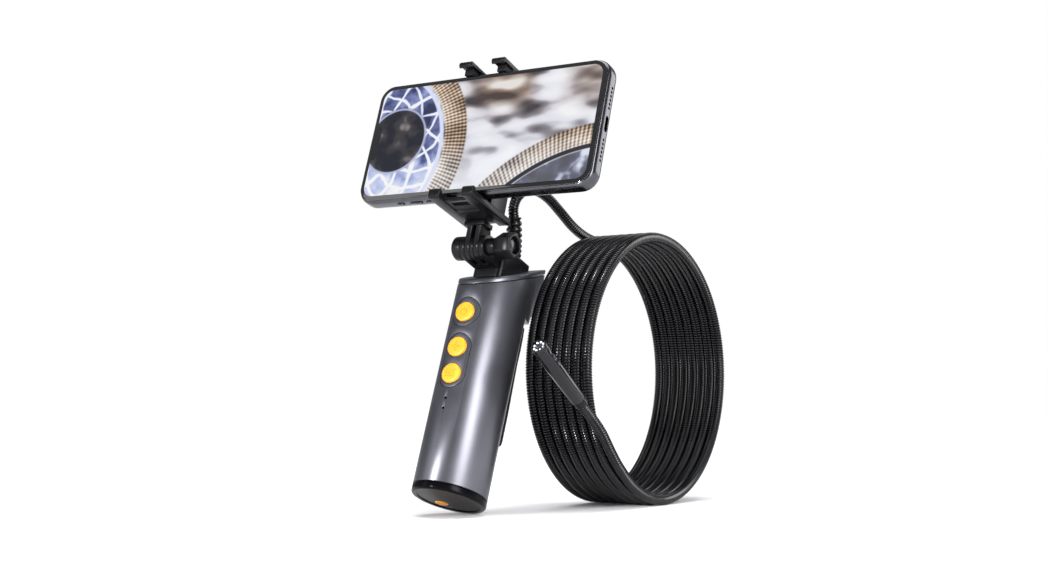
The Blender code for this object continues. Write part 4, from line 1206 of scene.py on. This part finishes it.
@dataclass(frozen=True)
class PictureFinish:
    """The lit picture: a blurred close view of ribbed rings and toothed bands.

    Places in the picture are counted in its height, from its lower left corner.
    """

    aspect: float = 2.12
    hub_centre: tuple[float, float] = (0.22, 0.50)
    hub_radius: float = 0.30
    far_centre: tuple[float, float] = (-0.12, 0.38)
    far_band: tuple[float, float] = (0.85, 1.06)
    near_centre: tuple[float, float] = (2.28, -1.12)
    near_band: tuple[float, float] = (1.42, 1.60)

    def build(self) -> bpy.types.Material:
        """Make the material."""
        graph = Graph("lit_picture")
        split = graph.node("ShaderNodeSeparateXYZ")
        graph.feed(split.inputs[0], graph.uv)
        u = graph.math("MULTIPLY", split.outputs["X"], self.aspect)
        v = split.outputs["Y"]
        join = graph.node("ShaderNodeCombineXYZ")
        graph.feed(join.inputs["X"], u)
        graph.feed(join.inputs["Y"], v)
        flat = join.outputs[0]
        colour = self.backdrop(graph, flat, v)
        far = self.polar(graph, u, v, self.far_centre)
        colour = self.hub(graph, colour, flat, v, self.polar(graph, u, v, self.hub_centre), far[0])
        colour = self.far_rim(graph, colour, v, *far)
        colour = self.near_rim(graph, colour, flat, v, *self.polar(graph, u, v, self.near_centre))
        graph.surface(Base_Color=(0.004, 0.004, 0.005, 1.0), Roughness=0.08, Specular_IOR_Level=0.5,
                      Coat_Weight=0.5, Coat_Roughness=0.03, Emission_Strength=0.92)
        graph.feed(graph.shader.inputs["Emission Color"], colour)
        return graph.material

    def polar(self, graph: Graph, u: object, v: object, centre: tuple[float, float]) -> tuple[object, object]:
        """Distance and angle from a centre."""
        dx = graph.math("SUBTRACT", u, centre[0])
        dy = graph.math("SUBTRACT", v, centre[1])
        square = graph.math("ADD", graph.math("MULTIPLY", dx, dx), graph.math("MULTIPLY", dy, dy))
        return graph.math("SQRT", square), graph.math("ARCTAN2", dy, dx)

    def band(self, graph: Graph, radius: object, inner: float, outer: float, soft: float) -> object:
        """One inside a ring between two radii, zero outside."""
        rise = graph.span(radius, inner - soft, inner + soft, smooth=True)
        fall = graph.span(radius, outer - soft, outer + soft, 1.0, 0.0, smooth=True)
        return graph.math("MULTIPLY", rise, fall)

    def backdrop(self, graph: Graph, flat: object, v: object) -> object:
        """Blurred slanting streaks, browner above and paler below."""
        slant = graph.node("ShaderNodeMapping")
        graph.feed(slant.inputs["Vector"], flat)
        slant.inputs["Rotation"].default_value = (0.0, 0.0, -0.5)
        slant.inputs["Scale"].default_value = (1.0, 2.2, 1.0)
        blur = graph.noise(2.3, 1.5, slant.outputs[0])
        warm = graph.noise(1.7, 0.5, flat)
        cool = graph.ramp(blur, ((0.34, (0.05, 0.045, 0.055)), (0.44, (0.30, 0.28, 0.31)),
                                 (0.52, (0.80, 0.80, 0.88)), (0.66, (0.97, 0.97, 1.0))))
        brown = graph.ramp(blur, ((0.38, (0.07, 0.045, 0.035)), (0.5, (0.32, 0.23, 0.18)),
                                  (0.62, (0.85, 0.80, 0.76))))
        high = graph.span(v, 0.5, 0.85, smooth=True)
        colour = graph.mix(graph.math("MULTIPLY", high, graph.span(warm, 0.35, 0.6)), cool, brown)
        low_glow = graph.span(v, 0.12, 0.42, 0.75, 0.0, smooth=True)
        return graph.mix(low_glow, colour, (0.93, 0.94, 1.0))

    def hub(self, graph: Graph, under: object, flat: object, v: object, place: tuple[object, object],
            far: object) -> object:
        """A ring of crossing pale struts round a dark hole.

        Args:
            graph: The material's graph.
            under: The colour so far.
            flat: The picture's coordinates.
            v: Its height, since the struts are paler at the bottom.
            place: Distance and angle from the hub's centre.
            far: Distance from the far band's centre, where the ring ends.

        Returns:
            The colour with the hub.
        """
        radius, angle = place
        wobble = graph.math("MULTIPLY", graph.noise(3.0, 2.0, flat), 3.0)
        struts = []
        for turns, slope in ((6.0, 11.0), (-5.0, 17.0)):
            phase = graph.math("MULTIPLY_ADD", radius, slope, wobble)
            phase = graph.math("MULTIPLY_ADD", angle, turns, phase)
            wave = graph.math("ABSOLUTE", graph.math("SINE", phase))
            struts.append(graph.span(wave, 0.05, 0.4, 1.0, 0.0, smooth=True))
        ribs = graph.math("MAXIMUM", struts[0], graph.math("MULTIPLY", struts[1], 0.8))
        ribs = graph.math("MULTIPLY_ADD", ribs, 0.55, graph.noise(5.0, 4.0, flat))
        ribs = graph.math("ADD", ribs, graph.span(v, 0.05, 0.4, 0.3, 0.0))
        ribbed = graph.ramp(ribs, ((0.38, (0.02, 0.03, 0.09)), (0.52, (0.14, 0.17, 0.4)),
                                   (0.68, (0.5, 0.57, 0.88)), (0.9, (0.97, 0.98, 1.0))))
        rim = self.far_band[0]
        inside = graph.math("MULTIPLY", self.band(graph, radius, self.hub_radius, 0.76, 0.03),
                            graph.span(far, rim - 0.03, rim, 1.0, 0.0, smooth=True))
        colour = graph.mix(inside, under, ribbed)
        murk = graph.noise(5.0, 2.0, flat)
        pit = graph.ramp(murk, ((0.45, (0.006, 0.007, 0.014)), (0.6, (0.05, 0.045, 0.05)),
                                (0.75, (0.35, 0.32, 0.33))))
        hole = graph.span(radius, self.hub_radius - 0.02, self.hub_radius + 0.02, 1.0, 0.0, smooth=True)
        colour = graph.mix(hole, colour, pit)
        lip = self.band(graph, radius, self.hub_radius - 0.01, self.hub_radius + 0.005, 0.008)
        return graph.mix(graph.math("MULTIPLY", lip, 0.8), colour, (0.55, 0.62, 0.95))

    def far_rim(self, graph: Graph, under: object, v: object, radius: object, angle: object) -> object:
        """The upright toothed band beside the hub, with a pale inner edge."""
        inner, outer = self.far_band
        mask, teeth = self.toothed(graph, radius, angle, inner, outer, 190.0, v)
        colour = graph.mix(mask, under, teeth)
        edge = self.band(graph, radius, inner - 0.05, inner - 0.015, 0.008)
        return graph.mix(edge, colour, (0.75, 0.8, 1.0))

    def near_rim(self, graph: Graph, under: object, flat: object, v: object, radius: object,
                 angle: object) -> object:
        """The second toothed band in the lower right corner and the shade below it."""
        inner, outer = self.near_band
        mask, teeth = self.toothed(graph, radius, angle, inner, outer, 260.0, v)
        colour = graph.mix(mask, under, teeth)
        line = self.band(graph, radius, inner - 0.035, inner + 0.005, 0.006)
        colour = graph.mix(line, colour, (0.02, 0.02, 0.03))
        glints = graph.noise(6.0, 2.0, flat)
        shaded = graph.ramp(glints, ((0.4, (0.015, 0.015, 0.03)), (0.56, (0.06, 0.07, 0.14)),
                                     (0.68, (0.75, 0.8, 0.95))))
        corner = graph.span(radius, inner - 0.05, inner - 0.03, 0.9, 0.0, smooth=True)
        return graph.mix(corner, colour, shaded)

    def toothed(self, graph: Graph, radius: object, angle: object, inner: float, outer: float, count: float,
                height: object) -> tuple[object, object]:
        """A band of fine teeth: its mask and its colour, darker and browner higher up.

        Args:
            graph: The material's graph.
            radius: Distance from the band's centre.
            angle: Angle about it.
            inner: Inner radius.
            outer: Outer radius.
            count: How fast the teeth follow the angle.
            height: The picture's height, which lights the band's lower part.

        Returns:
            The mask and the colour sockets.
        """
        across = graph.span(radius, inner, outer)
        lean = graph.math("MULTIPLY_ADD", radius, 26.0, graph.math("MULTIPLY", angle, count))
        fine = graph.math("SINE", lean)
        rows = graph.math("SINE", graph.math("MULTIPLY", across, 38.0))
        grain = graph.math("ADD", graph.math("MULTIPLY", fine, 0.24), graph.math("MULTIPLY", rows, 0.1))
        patch = graph.math("MULTIPLY_ADD", graph.noise(7.0, 2.0, graph.uv), 0.9, -0.42)
        grain = graph.math("ADD", grain, patch)
        shade = graph.math("ADD", grain, graph.span(across, 0.0, 0.85, 0.56, 0.3))
        gold = graph.ramp(shade, ((0.05, (0.035, 0.022, 0.015)), (0.35, (0.26, 0.16, 0.09)),
                                  (0.62, (0.66, 0.50, 0.36)), (0.9, (0.98, 0.93, 0.86))))
        pale = graph.ramp(shade, ((0.05, (0.12, 0.10, 0.10)), (0.4, (0.60, 0.55, 0.52)),
                                  (0.8, (1.0, 0.99, 0.97))))
        colour = graph.mix(graph.span(height, 0.12, 0.5, 0.85, 0.0, smooth=True), gold, pale)
        return self.band(graph, radius, inner, outer, 0.012), colour


@dataclass
class Relief:
    """The ribbed strain relief that rises from the stem."""

    finishes: Finishes
    radius: float = 4.7 * MM
    ribs: int = 9
    taper: float = 0.4 * MM
    groove: float = 0.9 * MM
    seat: tuple[float, float] = (10.0 * MM, 139.6 * MM)
    rise: float = 10.0 * MM
    tip: Point = (-6.7 * MM, 31.2 * MM, 159.5 * MM)

    def build(self) -> bpy.types.Object:
        """Make the relief and return it."""
        placing = grip_frame()
        offset = self.tip[0] - placing.translation.x
        start = placing @ Vector((offset, *self.seat))
        knee = placing @ Vector((offset, self.seat[0], self.seat[1] + self.rise))
        tip = Vector(self.tip)
        across = Vector((1, 0, 0))
        rings = []
        steps = 12
        for k in range(self.ribs * steps + 1):
            share = k / (self.ribs * steps)
            centre = start * (1 - share) ** 2 + knee * (2 * share * (1 - share)) + tip * share ** 2
            along = ((knee - start) * (1 - share) + (tip - knee) * share).normalized()
            side = along.cross(across)
            wide = self.radius - self.taper * share
            phase = (k % steps) / steps
            dip = self.groove * math.exp(-((phase - 0.5) / 0.2) ** 2)
            radius = wide - dip - (1.0 * MM if share == 1 else 0.0)
            rings.append([centre + across * (radius * math.cos(t)) + side * (radius * math.sin(t))
                          for t in np.linspace(0, 2 * math.pi, 40, endpoint=False)])
        relief = skin("ribbed_relief", rings)
        soften(relief, 0.0, angle=50.0)
        return finished(relief, self.finishes, Slot.CABLE, Body.GRIP, ("strain_relief",))


def in_metres(pairs: Sequence[tuple[float, float]]) -> list[tuple[float, float]]:
    """A turned profile's (distance, radius) pairs, given in millimetres."""
    return [(distance * MM, radius * MM) for distance, radius in pairs]


@dataclass
class Probe:
    """The camera head: sleeve, glossy tube with a side window, and a nose with lens and lamps."""

    finishes: Finishes
    tail: Point = (47.5 * MM, 11.3 * MM, 56.5 * MM)
    tip: Point = (45.0 * MM, -28.7 * MM, 86.4 * MM)
    window_side: Point = (0.7, 0.1, 0.6)
    radius: float = 4.2 * MM
    sleeve: float = 5.0 * MM
    nose: float = 3.0 * MM
    nose_recess: float = 1.4 * MM
    face_back: float = 1.2 * MM
    window_back: float = 12.0 * MM
    lamp_count: int = 8
    lamp_ring: float = 2.65 * MM
    made: list[bpy.types.Object] = field(default_factory=list)

    def __post_init__(self) -> None:
        """Set up the probe's axis and the two directions across it."""
        reach = Vector(self.tip) - Vector(self.tail)
        self.along = reach.normalized()
        self.length = reach.length
        side = Vector(self.window_side)
        self.side = (side - self.along * side.dot(self.along)).normalized()
        self.other = self.along.cross(self.side)

    def at(self, distance: float) -> Vector:
        """The point of the axis at a distance from the tail."""
        return Vector(self.tail) + self.along * distance

    def add(self, piece: bpy.types.Object, slot: Slot, node: str) -> None:
        """Finish a piece, fix it to the grip and list it."""
        self.made.append(finished(piece, self.finishes, slot, Body.GRIP, (node,)))

    def build(self) -> list[bpy.types.Object]:
        """Make the probe's pieces and return them."""
        self.build_sleeve()
        self.build_tube()
        self.build_side_lens()
        self.build_nose()
        self.build_front_lens()
        self.build_lamps()
        return self.made

    def build_sleeve(self) -> None:
        """The grooved sleeve at the cable's end."""
        r = self.radius
        high, low = r - 0.5 * MM, r - 0.75 * MM
        profile = [(0.0, r - 1.1 * MM), (0.25 * MM, low), (0.6 * MM, r - 0.6 * MM)]
        for k in range(4):
            base = 0.8 * MM + 1.0 * MM * k
            profile += [(base, high), (base + 0.55 * MM, high),
                        (base + 0.65 * MM, low), (base + 0.9 * MM, low)]
        profile.append((self.sleeve, r - 0.7 * MM))
        sleeve = turned("probe_sleeve", self.at(0), self.at(self.sleeve), profile, 64)
        soften(sleeve, 0.0)
        self.add(sleeve, Slot.GLOSS, "probe_ferrule")

    def build_tube(self) -> None:
        """The glossy tube with the flat-bottomed notch of its side window."""
        r = self.radius
        start, end = self.sleeve + 0.2 * MM, self.length - self.nose
        span = end - start
        profile = [(0, r - 0.45 * MM), (0.12 * MM, r - 0.18 * MM), (0.35 * MM, r),
                   (span - 0.25 * MM, r), (span, r - 0.12 * MM)]
        tube = turned("probe_barrel", self.at(start), self.at(end), profile, 96)
        window = self.at(self.length - self.window_back)
        rings = []
        for rise, half_long, half_wide in ((2.9, 4.2, 3.2), (8.0, 7.7, 6.7)):
            floor = window + self.side * (rise * MM)
            rings.append([floor + self.along * (a * half_long * MM) + self.other * (b * half_wide * MM)
                          for a, b in ((1, 1), (-1, 1), (-1, -1), (1, -1))])
        work(tube, skin("window_cut", rings), Cut.REMOVE)
        soften(tube, 0.12 * MM, 2, 35.0)
        self.add(tube, Slot.GLOSS, "probe_tube")

    def build_side_lens(self) -> None:
        """The lens that looks out of the side window."""
        base = self.at(self.length - self.window_back) + self.side * (2.6 * MM)
        profile = in_metres(((0, 2.3), (0.65, 2.3), (0.8, 2.1), (0.65, 1.8), (0.7, 1.2), (0.85, 0.5)))
        lens = turned("side_window", base, base + self.side, profile, 48)
        soften(lens, 0.0)
        self.add(lens, Slot.LENS, "side_lens")

    def build_nose(self) -> None:
        """The nose, hollow in front of its lens and lamps."""
        r = self.radius
        inner = r - 0.55 * MM
        profile = [(0, r - 0.12 * MM), (0.2 * MM, r), (self.nose - 0.7 * MM, r),
                   (self.nose - 0.25 * MM, r - 0.15 * MM), (self.nose, r - 0.4 * MM), (self.nose, inner),
                   (self.nose - self.nose_recess, inner - 0.1 * MM)]
        nose = turned("probe_nose_ring", self.at(self.length - self.nose), self.at(self.length), profile, 96)
        soften(nose, 0.0, angle=30.0)
        self.add(nose, Slot.GLOSS, "probe_nose")

    def build_front_lens(self) -> None:
        """The main lens in the middle of the nose."""
        profile = in_metres(((0, 1.55), (0.95, 1.55), (1.1, 1.4), (0.9, 1.1), (0.95, 0.6)))
        lens = turned("nose_window", self.at(self.length - self.face_back), self.at(self.length), profile, 48)
        soften(lens, 0.0)
        self.add(lens, Slot.LENS, "front_lens")

    def build_lamps(self) -> None:
        """The ring of small domed lamps round the lens."""
        profile = in_metres(((0, 0.62), (0.35, 0.62), (0.6, 0.5), (0.72, 0.25)))
        base = self.at(self.length - self.face_back) + self.side * self.lamp_ring
        first = turned("lamp_ring", base, base + self.along, profile, 20)
        others = []
        for k in range(1, self.lamp_count):
            turn = 2 * math.pi * k / self.lamp_count
            spot = self.side * math.cos(turn) + self.other * math.sin(turn)
            others.append(copied(first, (spot - self.side) * self.lamp_ring))
        lamps = joined(first, others)
        soften(lamps, 0.0)
        self.add(lamps, Slot.LIGHT, "probe_lamps")


def dress_inner_nodes(finishes: Finishes) -> None:
    """Give every CAD node that still shows its slot's finish."""
    slots = {entry["node"]: entry["material_slot"] for entry in frame["record"]["subparts"]}
    for name, node in frame["nodes"].items():
        finishes.dress(node, Slot(slots[name]))


def main() -> None:
    """Build everything in order."""
    finishes = Finishes()
    dress_inner_nodes(finishes)
    Studio().build()
    relief = Relief(finishes).build()
    head = Probe(finishes).build()
    Cable(finishes).build([relief, *head])
    Grip(finishes).build()
    Hinge(finishes).build()
    Clamp(finishes).build()
    Phone(finishes).build()


if __name__ == "__main__":
    main()
